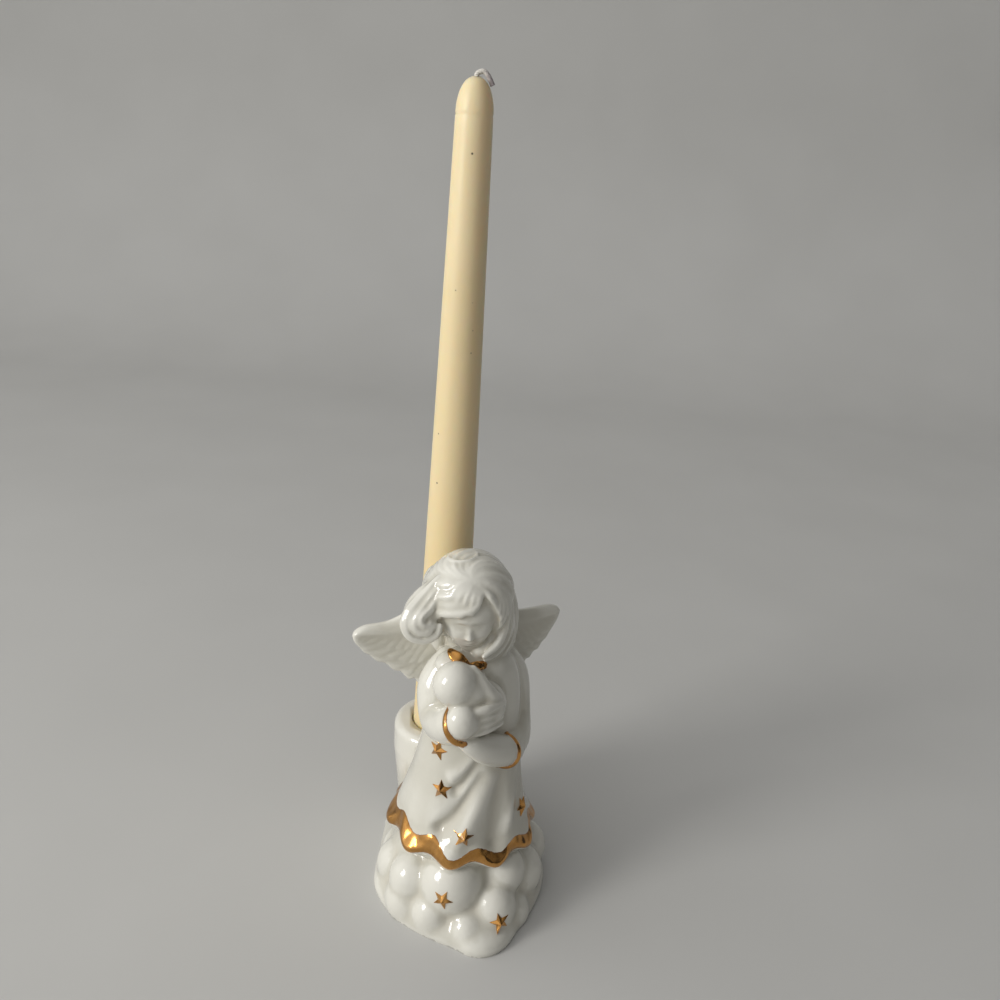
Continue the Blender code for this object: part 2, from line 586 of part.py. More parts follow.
def add_wing(shape, side):
    """One wing: a thick leading edge that thins to three rows of soft feathers."""
    steps, around = 14, 64
    edges = [[(side * x * WING_SPAN, y * WING_BACK, SHOULDER_HEIGHT + z) for x, z, y in rows] for rows in WINGS[side]]
    top, bottom = [smooth_path(edge, steps) for edge in edges]
    rings = []
    for i, (upper, lower) in enumerate(zip(top, bottom)):
        span = i / (len(top) - 1)
        taper = max(0.0, 1 - span ** 10) ** 0.5
        middle = (upper + lower) / 2
        ring = []
        for k in range(around):
            turn = 2 * pi * k / around
            chord = 0.5 - 0.5 * cos(turn) * (0.35 + 0.65 * taper)
            scallop = 0.030 * (cos(2 * pi * 7 * (span - 0.3 * chord)) - 0.4) * ease((chord - 0.72) / 0.28)
            edge_point = upper.lerp(lower, chord + scallop * taper)
            edge_point = middle.lerp(edge_point, 0.25 + 0.75 * taper)
            roll = bump(chord - 0.13, 0.17)
            thickness = WING_THICKNESS * (0.22 + 0.30 * roll) * taper + 0.0004
            full = ease((abs(sin(turn)) - 0.15) / 0.35)
            offset = thickness * abs(sin(turn)) ** 0.7 + feather_relief(span, chord) * taper * full
            offset = offset if sin(turn) > 0 else -offset
            ring.append(edge_point + Vector((0, -offset, 0)))
        rings.append(ring if side > 0 else list(reversed(ring)))
    add_loft(shape, rings)


def add_cup(shape):
    """The candle cup behind the robe, with a thick rounded rim; its bore is cut later."""
    rim = CUP_RIM_DIAMETER / 2
    foot = CUP_FOOT_DIAMETER / 2
    r = RIM_ROUNDING
    profile = [(foot * 0.9, 0.004), (foot, 0.016), (foot + (rim - foot) * 0.45, 0.028), (rim, CUP_RIM_HEIGHT - 0.012)]
    profile = [(point.x, point.y) for point in smooth_path([(a, b, 0) for a, b in profile], 6)]
    for k in range(7):
        turn = pi / 2 * k / 6
        profile.append((rim - r + r * cos(turn), CUP_RIM_HEIGHT - r + r * sin(turn)))
    add_turned(shape, profile, centre_y=CUP_OFFSET)


def make_material(name, colour, roughness, coat=0.0, subsurface=0.0):
    """A plain shader with the part's own colour and gloss."""
    material = bpy.data.materials.new(name)
    material.use_nodes = True
    shader = material.node_tree.nodes["Principled BSDF"]
    shader.inputs["Base Color"].default_value = (*colour, 1.0)
    shader.inputs["Roughness"].default_value = roughness
    shader.inputs["Coat Weight"].default_value = coat
    shader.inputs["Subsurface Weight"].default_value = subsurface
    material.diffuse_color = (*colour, 1.0)
    return material


def make_object(name, shape, material=None):
    """An object from finished geometry, with its faces pointing out and shaded smooth."""
    bmesh.ops.recalc_face_normals(shape, faces=shape.faces)
    mesh = bpy.data.meshes.new(name)
    shape.to_mesh(mesh)
    shape.free()
    mesh.shade_smooth()
    item = bpy.data.objects.new(name, mesh)
    bpy.context.scene.collection.objects.link(item)
    if material:
        mesh.materials.append(material)
    return item


def make_tool(name, shape):
    """A guide or cutter that is not part of the model."""
    tool = make_object(name, shape)
    tool.hide_render = True
    tool.display_type = "WIRE"
    return tool


def add_boolean(item, tool, operation):
    """Join or cut with another closed shape."""
    modifier = item.modifiers.new(tool.name, "BOOLEAN")
    modifier.operation = operation
    modifier.solver = "EXACT"
    modifier.object = tool


def evaluated_triangles(item):
    """How many triangles the object has with its modifiers."""
    graph = bpy.context.evaluated_depsgraph_get()
    mesh = item.evaluated_get(graph).to_mesh()
    return sum(len(face.vertices) - 2 for face in mesh.polygons)


def add_skin(item, voxel, steps):
    """Give the object one closed skin round all its forms, softened a number of times."""
    remesh = item.modifiers.new("one_skin", "REMESH")
    remesh.mode = "VOXEL"
    remesh.voxel_size = voxel
    remesh.use_smooth_shade = True
    soften = item.modifiers.new("soft_creases", "SMOOTH")
    soften.factor = 0.5
    soften.iterations = steps


def melt_into(shape, forms, voxel, steps):
    """Add a group of forms to the shape, run together into one soft skin with filled creases."""
    group = bmesh.new()
    for add_form in forms:
        add_form(group)
    item = make_object("melted_group", group)
    add_skin(item, voxel, steps)
    graph = bpy.context.evaluated_depsgraph_get()
    shape.from_mesh(item.evaluated_get(graph).to_mesh())
    bpy.data.objects.remove(item, do_unlink=True)


# Stars on robe and cloud: angle around the robe, height, tilt of the star
STARS = (
    (-53, 0.0722, 8), (-44, 0.0574, -6), (-20, 0.0416, 12), (45, 0.0429, -10), (-31, 0.0180, 20), (4, 0.0095, -14),
)


def make_stars(body):
    """Small raised stars, faceted to a point, each laid on the surface of the body."""
    graph = bpy.context.evaluated_depsgraph_get()
    surface = body.evaluated_get(graph)
    shape = bmesh.new()
    for angle, height, tilt in STARS:
        outward = Vector((sin(radians(angle)), -cos(radians(angle)), 0))
        hit, place, normal, index = surface.ray_cast(outward * 0.1 + Vector((0, 0, height)), -outward)
        across = Vector((0, 0, 1)).cross(normal).normalized()
        up = normal.cross(across)
        root, crest = [], []
        for k in range(10):
            turn = radians(tilt) + pi * k / 5
            reach = STAR_RADIUS if k % 2 == 0 else STAR_RADIUS * 0.45
            start = place + (across * sin(turn) + up * cos(turn)) * reach
            found, point, side, face = surface.ray_cast(start + normal * 0.004, -normal)
            point = point if found else start
            root.append(shape.verts.new(point - normal * STAR_ROOT))
            crest.append(shape.verts.new(point + normal * STAR_RISE * 0.2))
        peak = shape.verts.new(place + normal * STAR_RISE)
        for k in range(10):
            j = (k + 1) % 10
            shape.faces.new((root[k], root[j], crest[j], crest[k]))
            shape.faces.new((crest[k], crest[j], peak))
        shape.faces.new(list(reversed(root)))
    return make_tool("star_forms", shape)


def make_figurine():
    """The one porcelain casting: cloud, robe, arms, bundle, head, wings, cup and stars."""
    shape = bmesh.new()
    melt_into(shape, (add_base,), CLOUD_VOXEL, CLOUD_SOFTENING)
    melt_into(shape, (add_robe, add_sleeves, add_hands, add_bundle), BODY_VOXEL, BODY_SOFTENING)
    add_fingers(shape)
    add_cuffs(shape)
    add_collar(shape)
    add_head(shape)
    add_locks(shape)
    add_wing(shape, -1)
    add_wing(shape, 1)
    add_cup(shape)
    porcelain = make_material("glazed_porcelain", (0.76, 0.73, 0.64), 0.16, coat=0.5)
    figurine = make_object("figurine", shape, porcelain)

    add_skin(figurine, SCULPT_VOXEL, SCULPT_SOFTENING)
    ratio = SCULPT_TRIANGLES / evaluated_triangles(figurine)
    decimate = figurine.modifiers.new("fewer_facets", "DECIMATE")
    decimate.ratio = min(1.0, ratio)
    add_boolean(figurine, make_stars(figurine), "UNION")

    socket = bmesh.new()
    radius = CANDLE_DIAMETER / 2 + CLEARANCE
    add_turned(socket, ((radius, SEAT_HEIGHT), (radius, CUP_RIM_HEIGHT + 0.01)), centre_y=CUP_OFFSET)
    add_boolean(figurine, make_tool("socket_bore", socket), "DIFFERENCE")
    floor = bmesh.new()
    reach = BASE_FRONT + BASE_BACK
    bmesh.ops.create_cube(floor, size=2 * reach, matrix=Matrix.Translation((0, 0, -reach)))
    add_boolean(figurine, make_tool("sole_plane", floor), "DIFFERENCE")
    vent = bmesh.new()
    add_turned(vent, ((VENT_DIAMETER / 2, -0.002), (VENT_DIAMETER / 2, VENT_DEPTH)), centre_y=VENT_OFFSET, sides=16)
    add_boolean(figurine, make_tool("vent_hole", vent), "DIFFERENCE")
    return figurine


def candle_foot():
    """Height of the candle's lower face, just clear of the socket's seat."""
    return SEAT_HEIGHT + CLEARANCE


def candle_radius(share):
    """Radius of the taper at a share of the way from its foot to the start of its point."""
    return (CANDLE_DIAMETER + (CANDLE_TOP_DIAMETER - CANDLE_DIAMETER) * share) / 2


def make_candle():
    """The dipped taper: a long cone with a slim point, and a blind hole for the wick's root."""
    foot = candle_foot()
    shaft = CANDLE_LENGTH - CANDLE_POINT_LENGTH
    rounding = CANDLE_FOOT_ROUNDING
    profile = [(CANDLE_DIAMETER / 2 - rounding, foot), (CANDLE_DIAMETER / 2 - rounding * 0.3, foot + rounding * 0.3),
               (CANDLE_DIAMETER / 2, foot + rounding)]
    for k in range(1, 13):
        share = k / 12
        profile.append((candle_radius(share), foot + shaft * share))
    for k in range(1, 9):
        turn = pi / 2 * k / 9
        profile.append((CANDLE_TOP_DIAMETER / 2 * cos(turn) ** 0.85, foot + shaft + CANDLE_POINT_LENGTH * sin(turn)))
    flat = WICK_DIAMETER / 2 + 0.0008
    profile.append((flat, foot + CANDLE_LENGTH))
    shape = bmesh.new()
    add_turned(shape, profile, centre_y=CUP_OFFSET)
    wax = make_material("candle_wax", (0.72, 0.60, 0.36), 0.42, subsurface=0.2)
    candle = make_object("candle", shape, wax)
    hole = bmesh.new()
    radius = WICK_DIAMETER / 2 + CLEARANCE
    top = foot + CANDLE_LENGTH
    add_turned(hole, ((radius, top - WICK_ROOT), (radius, top + 0.01)), centre_y=CUP_OFFSET, sides=16)
    add_boolean(candle, make_tool("wick_hole", hole), "DIFFERENCE")
    return candle


def make_wick():
    """The cotton wick: up out of the candle's point and folded down to the figure's left."""
    top = candle_foot() + CANDLE_LENGTH
    root = top - WICK_ROOT + CLEARANCE
    points = ((0, 0, root), (0, 0, top - 0.0002), (0.0004, 0, top + WICK_RISE * 0.6),
              (0.0020, -0.0006, top + WICK_RISE), (0.55 * WICK_REACH, -0.0012, top + 0.4 * WICK_RISE),
              (WICK_REACH * 0.85, -0.0018, top - 0.0024))
    path = smooth_path([Vector((x, CUP_OFFSET + y, z)) for x, y, z in points], 5)
    shape = bmesh.new()
    sides = 12
    across = Vector((0, 1, 0))
    rings = []
    for i, point in enumerate(path):
        along = (path[min(i + 1, len(path) - 1)] - path[max(i - 1, 0)]).normalized()
        across = (across - along * across.dot(along)).normalized()
        up = along.cross(across)
        rings.append([point + (across * cos(2 * pi * k / sides) + up * sin(2 * pi * k / sides))
                      * WICK_DIAMETER / 2 for k in range(sides)])
    add_loft(shape, rings)
    cotton = make_material("wick_cotton", (0.62, 0.58, 0.54), 0.9)
    return make_object("wick", shape, cotton)


def clear_scene():
    """Remove whatever the scene holds before building."""
    for item in list(bpy.data.objects):
        bpy.data.objects.remove(item, do_unlink=True)


clear_scene()
make_figurine()
make_candle()
make_wick()
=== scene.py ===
"""Looks of the angel candle holder: ivory porcelain with gold lustre, a wax taper and its cotton wick.

The figure looks along -Y, the candle cup stands at +Y, +Z is up and the origin is on the flat sole,
under the robe. Sizes are in metres.
"""

from math import asin, atan2, cos, exp, hypot, pi, radians, sin

import bmesh
import bpy
import numpy as np
from mathutils import Euler, Matrix, Vector


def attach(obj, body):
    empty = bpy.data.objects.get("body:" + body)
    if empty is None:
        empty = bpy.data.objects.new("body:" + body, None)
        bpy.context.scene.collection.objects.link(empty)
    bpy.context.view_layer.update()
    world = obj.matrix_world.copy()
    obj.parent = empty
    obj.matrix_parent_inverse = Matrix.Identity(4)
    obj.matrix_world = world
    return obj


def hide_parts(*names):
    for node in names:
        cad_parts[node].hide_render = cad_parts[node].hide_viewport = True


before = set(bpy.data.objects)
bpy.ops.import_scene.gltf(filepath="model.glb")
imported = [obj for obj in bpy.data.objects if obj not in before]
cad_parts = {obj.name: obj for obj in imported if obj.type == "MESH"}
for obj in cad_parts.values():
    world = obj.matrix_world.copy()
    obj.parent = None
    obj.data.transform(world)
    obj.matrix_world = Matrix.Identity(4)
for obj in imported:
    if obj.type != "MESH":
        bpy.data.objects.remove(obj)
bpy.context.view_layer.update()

# Cloud base
BASE_HALF_WIDTH = 0.0355
BASE_SHIFT = 0.0005
BASE_FRONT = 0.0437
BASE_HEIGHT = 0.0300
BASE_TIP_SHIFT = 0.0035

# Robe
HEM_HEIGHT = 0.0288
HEM_RADIUS = 0.0295
HEM_THICKNESS = 0.0026
HEM_WAVE = 0.0013
HEM_TILT = 0.0016
HEM_WAVES = 10
HEM_WAVE_START = radians(-29)
HEM_PLEAT = 0.0011
HEM_TUCK = 0.0010
BODICE_RADIUS = 0.0175
BODICE_START = 0.6
BODICE_SECTION = 0.604
ROBE_FLATNESS = 0.22
ROBE_LEAN = 0.0066
SHOULDER_HEIGHT = 0.1080
SHOULDER_HALF_WIDTH = 0.0160
SLEEVE_RADIUS = 0.0074
HAND_RADIUS = 0.0066
CUFF_THICKNESS = 0.0025
COLLAR_THICKNESS = 0.0016

# Gold band on the hem: width, extra width on the figure's right side, swing of its upper edge
GOLD_BAND = 0.0056
GOLD_BAND_EXTRA = 0.0022
GOLD_BAND_SWING = 0.0006
GOLD_ABOVE_EDGE = 0.0006
GOLD_INNER_RADIUS = 0.0235

# Head and hair
HEAD_RADIUS = 0.0164
HEAD_RISE = 0.0203
HEAD_FORWARD = 0.0020
HEAD_ASIDE = -0.0042
HEAD_YAW = radians(-19)
HEAD_BOW = radians(20)
HEAD_ROLL = radians(-4)
HAIR_RING_RADIUS = 0.0050
HAIR_RING_THICKNESS = 0.0012
HAIR_STRAND = 0.0019
HAIR_GROOVE = 0.00026

# Wings
WING_SPAN = 0.0425
WING_THICKNESS = 0.0050
WING_BACK = 0.0140

# Candle cup
CUP_OFFSET = 0.0310
CUP_RIM_HEIGHT = 0.0543
CUP_RIM_DIAMETER = 0.0368
CUP_FOOT_DIAMETER = 0.0310
SOCKET_DEPTH = 0.0240
RIM_ROUNDING = 0.0032
CUP_OVERHANG = 0.0009

# Candle and wick
CANDLE_DIAMETER = 0.0222
CANDLE_TOP_DIAMETER = 0.0124
CANDLE_LENGTH = 0.2660
CANDLE_POINT_LENGTH = 0.0112
CANDLE_FOOT_ROUNDING = 0.0012
CANDLE_SEAM = 0.00018
WICK_DIAMETER = 0.0017
WICK_ROOT = 0.0015
WICK_RISE = 0.0016
WICK_REACH = 0.0060

# Raised stars
STAR_RADIUS = 0.0039
STAR_RISE = 0.0018
STAR_EDGE = 0.00025
STAR_ROOT = 0.0006

# Voxel size and smoothing steps of the skin round each group of forms
CLOUD_SKIN = (0.0008, 22)
BODY_SKIN = (0.0005, 8)
HAND_SKIN = (0.0005, 16)
HAIR_SKIN = (0.0004, 3)

# The skin round the whole figurine
SKIN_VOXEL = 0.00032
SKIN_TRIANGLES = 188000
GLAZE_STEPS = 7

CLEARANCE = 0.0003
SEAT_HEIGHT = CUP_RIM_HEIGHT - SOCKET_DEPTH
BASE_BACK = CUP_OFFSET + CUP_RIM_DIAMETER / 2 - CUP_OVERHANG
HEAD_CENTRE = Vector((HEAD_ASIDE, -HEAD_FORWARD, SHOULDER_HEIGHT + HEAD_RISE))
HEAD_TURN = Euler((HEAD_BOW, HEAD_ROLL, HEAD_YAW), "XYZ").to_matrix()


def smooth_path(points, steps):
    """Points along a curve that passes smoothly through the given ones."""
    points = [Vector(point) for point in points]
    last = len(points) - 1
    path = []
    for i in range(last):
        before = points[max(i - 1, 0)]
        start, end = points[i], points[i + 1]
        after = points[min(i + 2, last)]
        for step in range(steps):
            t = step / steps
            path.append(0.5 * (2 * start + (end - before) * t
                               + (2 * before - 5 * start + 4 * end - after) * t * t
                               + (3 * start - before - 3 * end + after) * t ** 3))
    path.append(points[last])
    return path


def blend_table(table, place):
    """Value at a place along a table of (place, value) rows."""
    for (low, low_value), (high, high_value) in zip(table, table[1:]):
        if place <= high:
            t = max(0.0, (place - low) / (high - low))
            return low_value + (high_value - low_value) * t
    return table[-1][1]


def smooth_table(table, steps):
    """The same table with extra rows, so that its value turns smoothly at each row."""
    path = smooth_path([(place, value, 0) for place, value in table], steps)
    return [(point.x, point.y) for point in path]


def bump(distance, width):
    """A soft hill of height 1 that fades out over the width."""
    return exp(-(distance / width) ** 2)


def along_line(x, y, dx, dy):
    """Where a line from the origin comes nearest to a place: share of its length, and the gap."""
    t = min(1.0, max(0.0, (x * dx + y * dy) / (dx * dx + dy * dy)))
    return t, hypot(x - t * dx, y - t * dy)


def ease(value):
    """Runs smoothly from 0 to 1 as the value does."""
    t = max(0.0, min(1.0, value))
    return t * t * (3 - 2 * t)


def add_loft(shape, rings):
    """A closed skin through rings of equally many points, with a cap at each end."""
    rows = [[shape.verts.new(point) for point in ring] for ring in rings]
    count = len(rows[0])
    for lower, upper in zip(rows, rows[1:]):
        for i in range(count):
            j = (i + 1) % count
            shape.faces.new((lower[i], lower[j], upper[j], upper[i]))
    shape.faces.new(list(reversed(rows[0])))
    shape.faces.new(rows[-1])


def add_ball(shape, centre, radii, turn=(0, 0, 0), fineness=5):
    """A ball or egg."""
    rotation = Euler([radians(angle) for angle in turn], "XYZ").to_matrix()
    made = bmesh.ops.create_icosphere(shape, subdivisions=fineness, radius=1.0)
    for vert in made["verts"]:
        direction = vert.co.normalized()
        local = Vector([direction[i] * radii[i] for i in range(3)])
        vert.co = Vector(centre) + rotation @ local


def add_sweep(shape, path, across, sides, radius_at):
    """A skin along a path, with its radius at each step and turn; across is where its turns start."""
    turns = [2 * pi * k / sides for k in range(sides)]
    rings = []
    for i, point in enumerate(path):
        along = (path[min(i + 1, len(path) - 1)] - path[max(i - 1, 0)]).normalized()
        across = (across - along * across.dot(along)).normalized()
        up = along.cross(across)
        rings.append([point + (across * cos(turn) + up * sin(turn)) * radius_at(i, turn)
                      for turn in turns])
    add_loft(shape, rings)


def add_tube(shape, points, radii, sides=24, steps=10, strands=0, groove=0.0, twist=0.0):
    """A tube with round ends along a smooth path, with lengthwise strands if it is a lock of hair."""
    path = smooth_path(points, steps)
    sizes = [size for size, _ in smooth_table([(radius, 0) for radius in radii], steps)]
    across = (path[1] - path[0]).orthogonal().normalized()
    add_sweep(shape, path, across, sides,
              lambda i, turn: sizes[i] * (1 + groove * cos(strands * turn + twist * i / steps)))
    for end, size in ((path[0], sizes[0]), (path[-1], sizes[-1])):
        add_ball(shape, end, (size * 0.97, size * 0.97, size * 0.97), fineness=3)


def add_turned(shape, profile, centre_y, sides=96):
    """A turned body: profile rows are (radius, height) from the bottom up."""
    turns = [2 * pi * k / sides for k in range(sides)]
    add_loft(shape, [[(radius * cos(turn), centre_y + radius * sin(turn), height) for turn in turns]
                     for radius, height in profile])


# Half of the base from above, as shares of its half width and of its depth to the front or back
BASE_OUTLINE = (
    (0.0, -1.0), (0.20, -0.95), (0.37, -0.82), (0.59, -0.66), (0.81, -0.45), (0.95, -0.21),
    (0.985, 0.04), (0.91, 0.22), (0.78, 0.42), (0.65, 0.63), (0.48, 0.85), (0.0, 1.0),
)
# Sections of the base: share of its height, then shares of its reach to the sides, front and back
BASE_SECTIONS = (
    (0.0, 0.975, 0.975, 0.98), (0.05, 1.0, 1.0, 1.0), (0.14, 0.98, 0.97, 0.98),
    (0.24, 0.93, 0.885, 0.94), (0.36, 0.87, 0.77, 0.90), (0.55, 0.80, 0.64, 0.86),
    (0.78, 0.73, 0.56, 0.82), (1.0, 0.66, 0.52, 0.75),
)
# Cloud puffs: place in the base's half width, depth and height, and radius in its half width, as shares
PUFFS = (
    (-0.28, -0.43, 0.53, 0.36), (0.26, -0.48, 0.60, 0.26), (0.10, -0.66, 0.30, 0.25),
    (-0.22, -0.72, 0.12, 0.20), (-0.62, -0.22, 0.44, 0.27), (-0.66, -0.24, 0.16, 0.28),
    (-0.50, -0.48, 0.20, 0.24), (-0.68, 0.06, 0.34, 0.25), (0.52, -0.38, 0.38, 0.28),
    (0.72, -0.10, 0.38, 0.28), (0.74, 0.16, 0.44, 0.25), (0.32, -0.62, 0.10, 0.22),
    (-0.56, 0.26, 0.26, 0.23), (0.62, 0.40, 0.36, 0.27), (-0.34, 0.60, 0.26, 0.22),
    (0.42, 0.66, 0.34, 0.28),
)


def base_loop():
    """The base's outline on the table as a closed loop of points."""
    right = []
    for share_x, share_y in BASE_OUTLINE:
        depth = BASE_FRONT if share_y < 0 else BASE_BACK
        tip_shift = BASE_TIP_SHIFT * max(0.0, -share_y) ** 3
        right.append((share_x, share_y * depth, tip_shift))
    left = [(-x, y, shift) for x, y, shift in reversed(right[1:-1])]
    corners = [(x * BASE_HALF_WIDTH + BASE_SHIFT - shift, y, 0) for x, y, shift in right + left]
    closed = corners[-2:] + corners + corners[:2]
    steps = 10
    path = smooth_path(closed, steps)
    return path[2 * steps:-2 * steps - 1 + steps]


def add_base(shape):
    """The smooth skirt of the cloud, from under the sole to under the robe, and its puffs."""
    loop = base_loop()
    below_sole = -0.006
    rings = [[(p.x, p.y, below_sole) for p in loop]]
    columns = [smooth_table([(row[0], row[column]) for row in BASE_SECTIONS], 4) for column in (1, 2, 3)]
    for (height_share, aside), (_, ahead), (_, behind) in zip(*columns):
        height = BASE_HEIGHT * height_share
        rings.append([(p.x * aside, p.y * (ahead if p.y < 0 else behind), height) for p in loop])
    add_loft(shape, rings)
    for share_x, share_y, share_z, size in PUFFS:
        depth = BASE_FRONT if share_y < 0 else BASE_BACK
        radius = size * BASE_HALF_WIDTH
        centre = (share_x * BASE_HALF_WIDTH, share_y * depth, share_z * BASE_HEIGHT)
        add_ball(shape, centre, (radius, radius, radius * 1.1))


# Robe sections from the hem up to the shoulders: share of the height, share of the hem's radius
ROBE_SECTIONS = (
    (0.0, 1.0), (0.03, 0.985), (0.07, 0.925), (0.11, 0.87), (0.15, 0.845), (0.24, 0.79),
    (0.33, 0.735), (0.43, 0.69), (0.60, 0.625), (0.80, 0.575), (0.92, 0.49), (1.0, 0.33),
)
# Folds of the robe: start angle and height, end angle and height, half width, rise
ROBE_FOLDS = (
    (-12, 0.56, -36, 0.43, 0.032, 0.070),
    (-7, 0.52, -32, 0.37, 0.026, -0.105),
    (-6, 0.43, -42, 0.14, 0.028, -0.125),
    (6, 0.42, -29, 0.09, 0.048, 0.115),
    (17, 0.43, 7, 0.12, 0.045, -0.095),
    (27, 0.42, 20, 0.14, 0.045, 0.045),
    (44, 0.42, 22, 0.18, 0.022, 0.035),
    (75, 0.45, 62, 0.08, 0.060, -0.050),
    (115, 0.45, 105, 0.05, 0.060, -0.045),
    (-80, 0.48, -88, 0.06, 0.060, -0.035),
    (-120, 0.50, -128, 0.05, 0.060, -0.050),
)


def hem_wave(angle):
    """How far the hem swings at an angle, or at each angle of an array, from -1 to 1."""
    return np.cos(HEM_WAVES * (angle - HEM_WAVE_START))


def hem_height(angle):
    """Height of the hem's lower edge at an angle; 0 is the front and positive is the figure's left."""
    return HEM_HEIGHT - HEM_WAVE * hem_wave(angle) - HEM_TILT * np.sin(angle)


def fold_relief(angle, share):
    """Rise or dip of the folds at an angle and a share of the robe's height, as a share of its radius."""
    total = 0.0
    for start, start_share, end, end_share, width, rise in ROBE_FOLDS:
        x0, x1 = radians(start) * 0.3, radians(end) * 0.3
        t, gap = along_line(angle * 0.3 - x0, share - start_share, x1 - x0, end_share - start_share)
        total += rise * (0.35 + 0.65 * t) * bump(gap, width)
    return total


def add_robe(shape):
    """The robe from its waved hem to the shoulders, with slanting folds in front."""
    sides, levels = 300, 120
    sections = smooth_table(ROBE_SECTIONS, 6)
    angles = [2 * pi * k / sides for k in range(sides)]
    inner = HEM_RADIUS * 0.80
    below_hem = HEM_HEIGHT - 0.004
    rings = [[(inner * sin(angle), -inner * cos(angle), below_hem) for angle in angles]]
    for level in range(levels + 1):
        share = (level / levels) ** 1.3
        ring = []
        for angle in angles:
            signed = angle if angle <= pi else angle - 2 * pi
            lower = hem_height(signed)
            height = lower + (SHOULDER_HEIGHT - lower) * share
            radius = blend_table(sections, share) * HEM_RADIUS
            radius += (BODICE_RADIUS - BODICE_SECTION * HEM_RADIUS) * min(1.0, share / BODICE_START)
            hem_share = (height - lower) / HEM_THICKNESS
            radius -= HEM_TUCK * bump(hem_share, 0.5)
            radius += HEM_PLEAT * hem_wave(signed) * bump(hem_share - 0.5, 1.5)
            radius *= 1 + fold_relief(signed, share)
            depth = radius * (1.0 - ROBE_FLATNESS * share)
            ring.append((radius * sin(angle), -ROBE_LEAN * share - depth * cos(angle), height))
        rings.append(ring)
    add_loft(shape, rings)


# Cuffs: place of the rim's centre on the bust, the way it faces and its radius
CUFFS = (
    ((-0.0136, 0.0258, -0.0156), (0.36, -0.80, 0.48), 0.0066),
    ((0.0064, 0.0200, -0.0352), (-0.72, -0.64, 0.27), 0.0056),
)
# Collar lobes: path on the bust and half width
COLLAR_LOBES = (
    (((-0.0138, 0.0100, 0.0049), (-0.0126, 0.0130, 0.0037), (-0.0103, 0.0150, 0.0021),
      (-0.0072, 0.0156, 0.0000)), 0.0023),
    (((-0.0080, 0.0156, -0.0004), (-0.0058, 0.0159, -0.0001), (-0.0034, 0.0154, -0.0006),
      (-0.0008, 0.0137, -0.0018)), 0.0017),
)


def at_bust(x, y, z):
    """A place on the upper body: across, forward and up from the middle of the shoulders."""
    return Vector((x, -y, SHOULDER_HEIGHT + z))


def add_limb(shape, places, radii, thickness=1.0, sides=24):
    """A tube through places on the upper body; its radii are shares of a thickness."""
    radii = [share * thickness for share in radii]
    add_tube(shape, [at_bust(*place) for place in places], radii, sides)


def ring_path(centre, facing, radius, turns=24):
    """Points round a circle about an axis."""
    across = facing.orthogonal().normalized() * radius
    return [centre + Matrix.Rotation(2 * pi * k / turns, 3, facing) @ across for k in range(turns + 1)]


def add_sleeves(shape):
    """Both sleeves: shoulder, elbow and the wide cuff that the hand comes out of."""
    w = SHOULDER_HALF_WIDTH
    add_limb(shape, ((-0.60 * w, 0.002, -0.006), (-0.88 * w, 0.003, -0.014), (-0.90 * w, 0.008, -0.024),
                     (-0.92 * w, 0.017, -0.0215), (-0.92 * w, 0.0235, -0.0165)),
             (0.85, 1, 1.04, 1, 0.88), SLEEVE_RADIUS)
    add_limb(shape, ((0.60 * w, 0.002, -0.006), (0.92 * w, 0.001, -0.016), (0.98 * w, 0.003, -0.030),
                     (0.84 * w, 0.011, -0.0360), (0.52 * w, 0.0180, -0.0355)),
             (0.85, 1, 1.04, 0.94, 0.80), SLEEVE_RADIUS)


def add_cuffs(shape):
    """The raised rims of both sleeves."""
    for centre, facing, radius in CUFFS:
        path = ring_path(at_bust(*centre), Vector(facing), radius)
        add_tube(shape, path, [CUFF_THICKNESS / 2] * len(path), sides=12, steps=2)


def add_hands(shape):
    """The upper hand spread over the bundle and the lower hand under it."""
    r = HAND_RADIUS
    add_ball(shape, at_bust(-0.0140, 0.0274, -0.0136), (r * 0.90, r * 0.86, r))
    add_ball(shape, at_bust(-0.0110, 0.0262, -0.0143), (r * 0.90, r * 0.76, r * 0.92))
    add_ball(shape, at_bust(-0.0058, 0.0242, -0.0136), (0.0090, 0.0048, 0.0058))
    add_limb(shape, ((0.0100, 0.0180, -0.0365), (0.0039, 0.0218, -0.0333), (-0.0038, 0.0256, -0.0282),
                     (-0.0098, 0.0276, -0.0238), (-0.0132, 0.0278, -0.0214)),
             (0.82, 0.90, 0.84, 0.62, 0.42), r)


def add_fingers(shape):
    """The fingers of the upper hand, laid flat over the bundle."""
    for finger in range(4):
        drop = finger * 0.0027
        add_limb(shape, ((-0.0124, 0.0288, -0.0102 - drop), (-0.0056, 0.0284, -0.0099 - drop),
                         (0.0016, 0.0248, -0.0108 - drop)), (0.0015, 0.0018, 0.0014), sides=16)


def add_bundle(shape):
    """The round-headed bundle at the figure's right shoulder, with a soft fold beside it."""
    add_ball(shape, at_bust(-0.0147, 0.0212, -0.0025), (0.0078, 0.0074, 0.0079))
    add_ball(shape, at_bust(-0.0104, 0.0206, -0.0058), (0.0084, 0.0074, 0.0084))
    add_ball(shape, at_bust(-0.0040, 0.0190, -0.0138), (0.0100, 0.0074, 0.0092), turn=(0, 36, 0))
    add_ball(shape, at_bust(-0.0062, 0.0226, -0.0080), (0.0048, 0.0042, 0.0046))
    add_limb(shape, ((-0.0086, 0.0215, 0.0028), (-0.0058, 0.0240, -0.0026), (-0.0022, 0.0240, -0.0078),
                     (0.0022, 0.0215, -0.0118)), (0.0014, 0.0026, 0.0030, 0.0018))


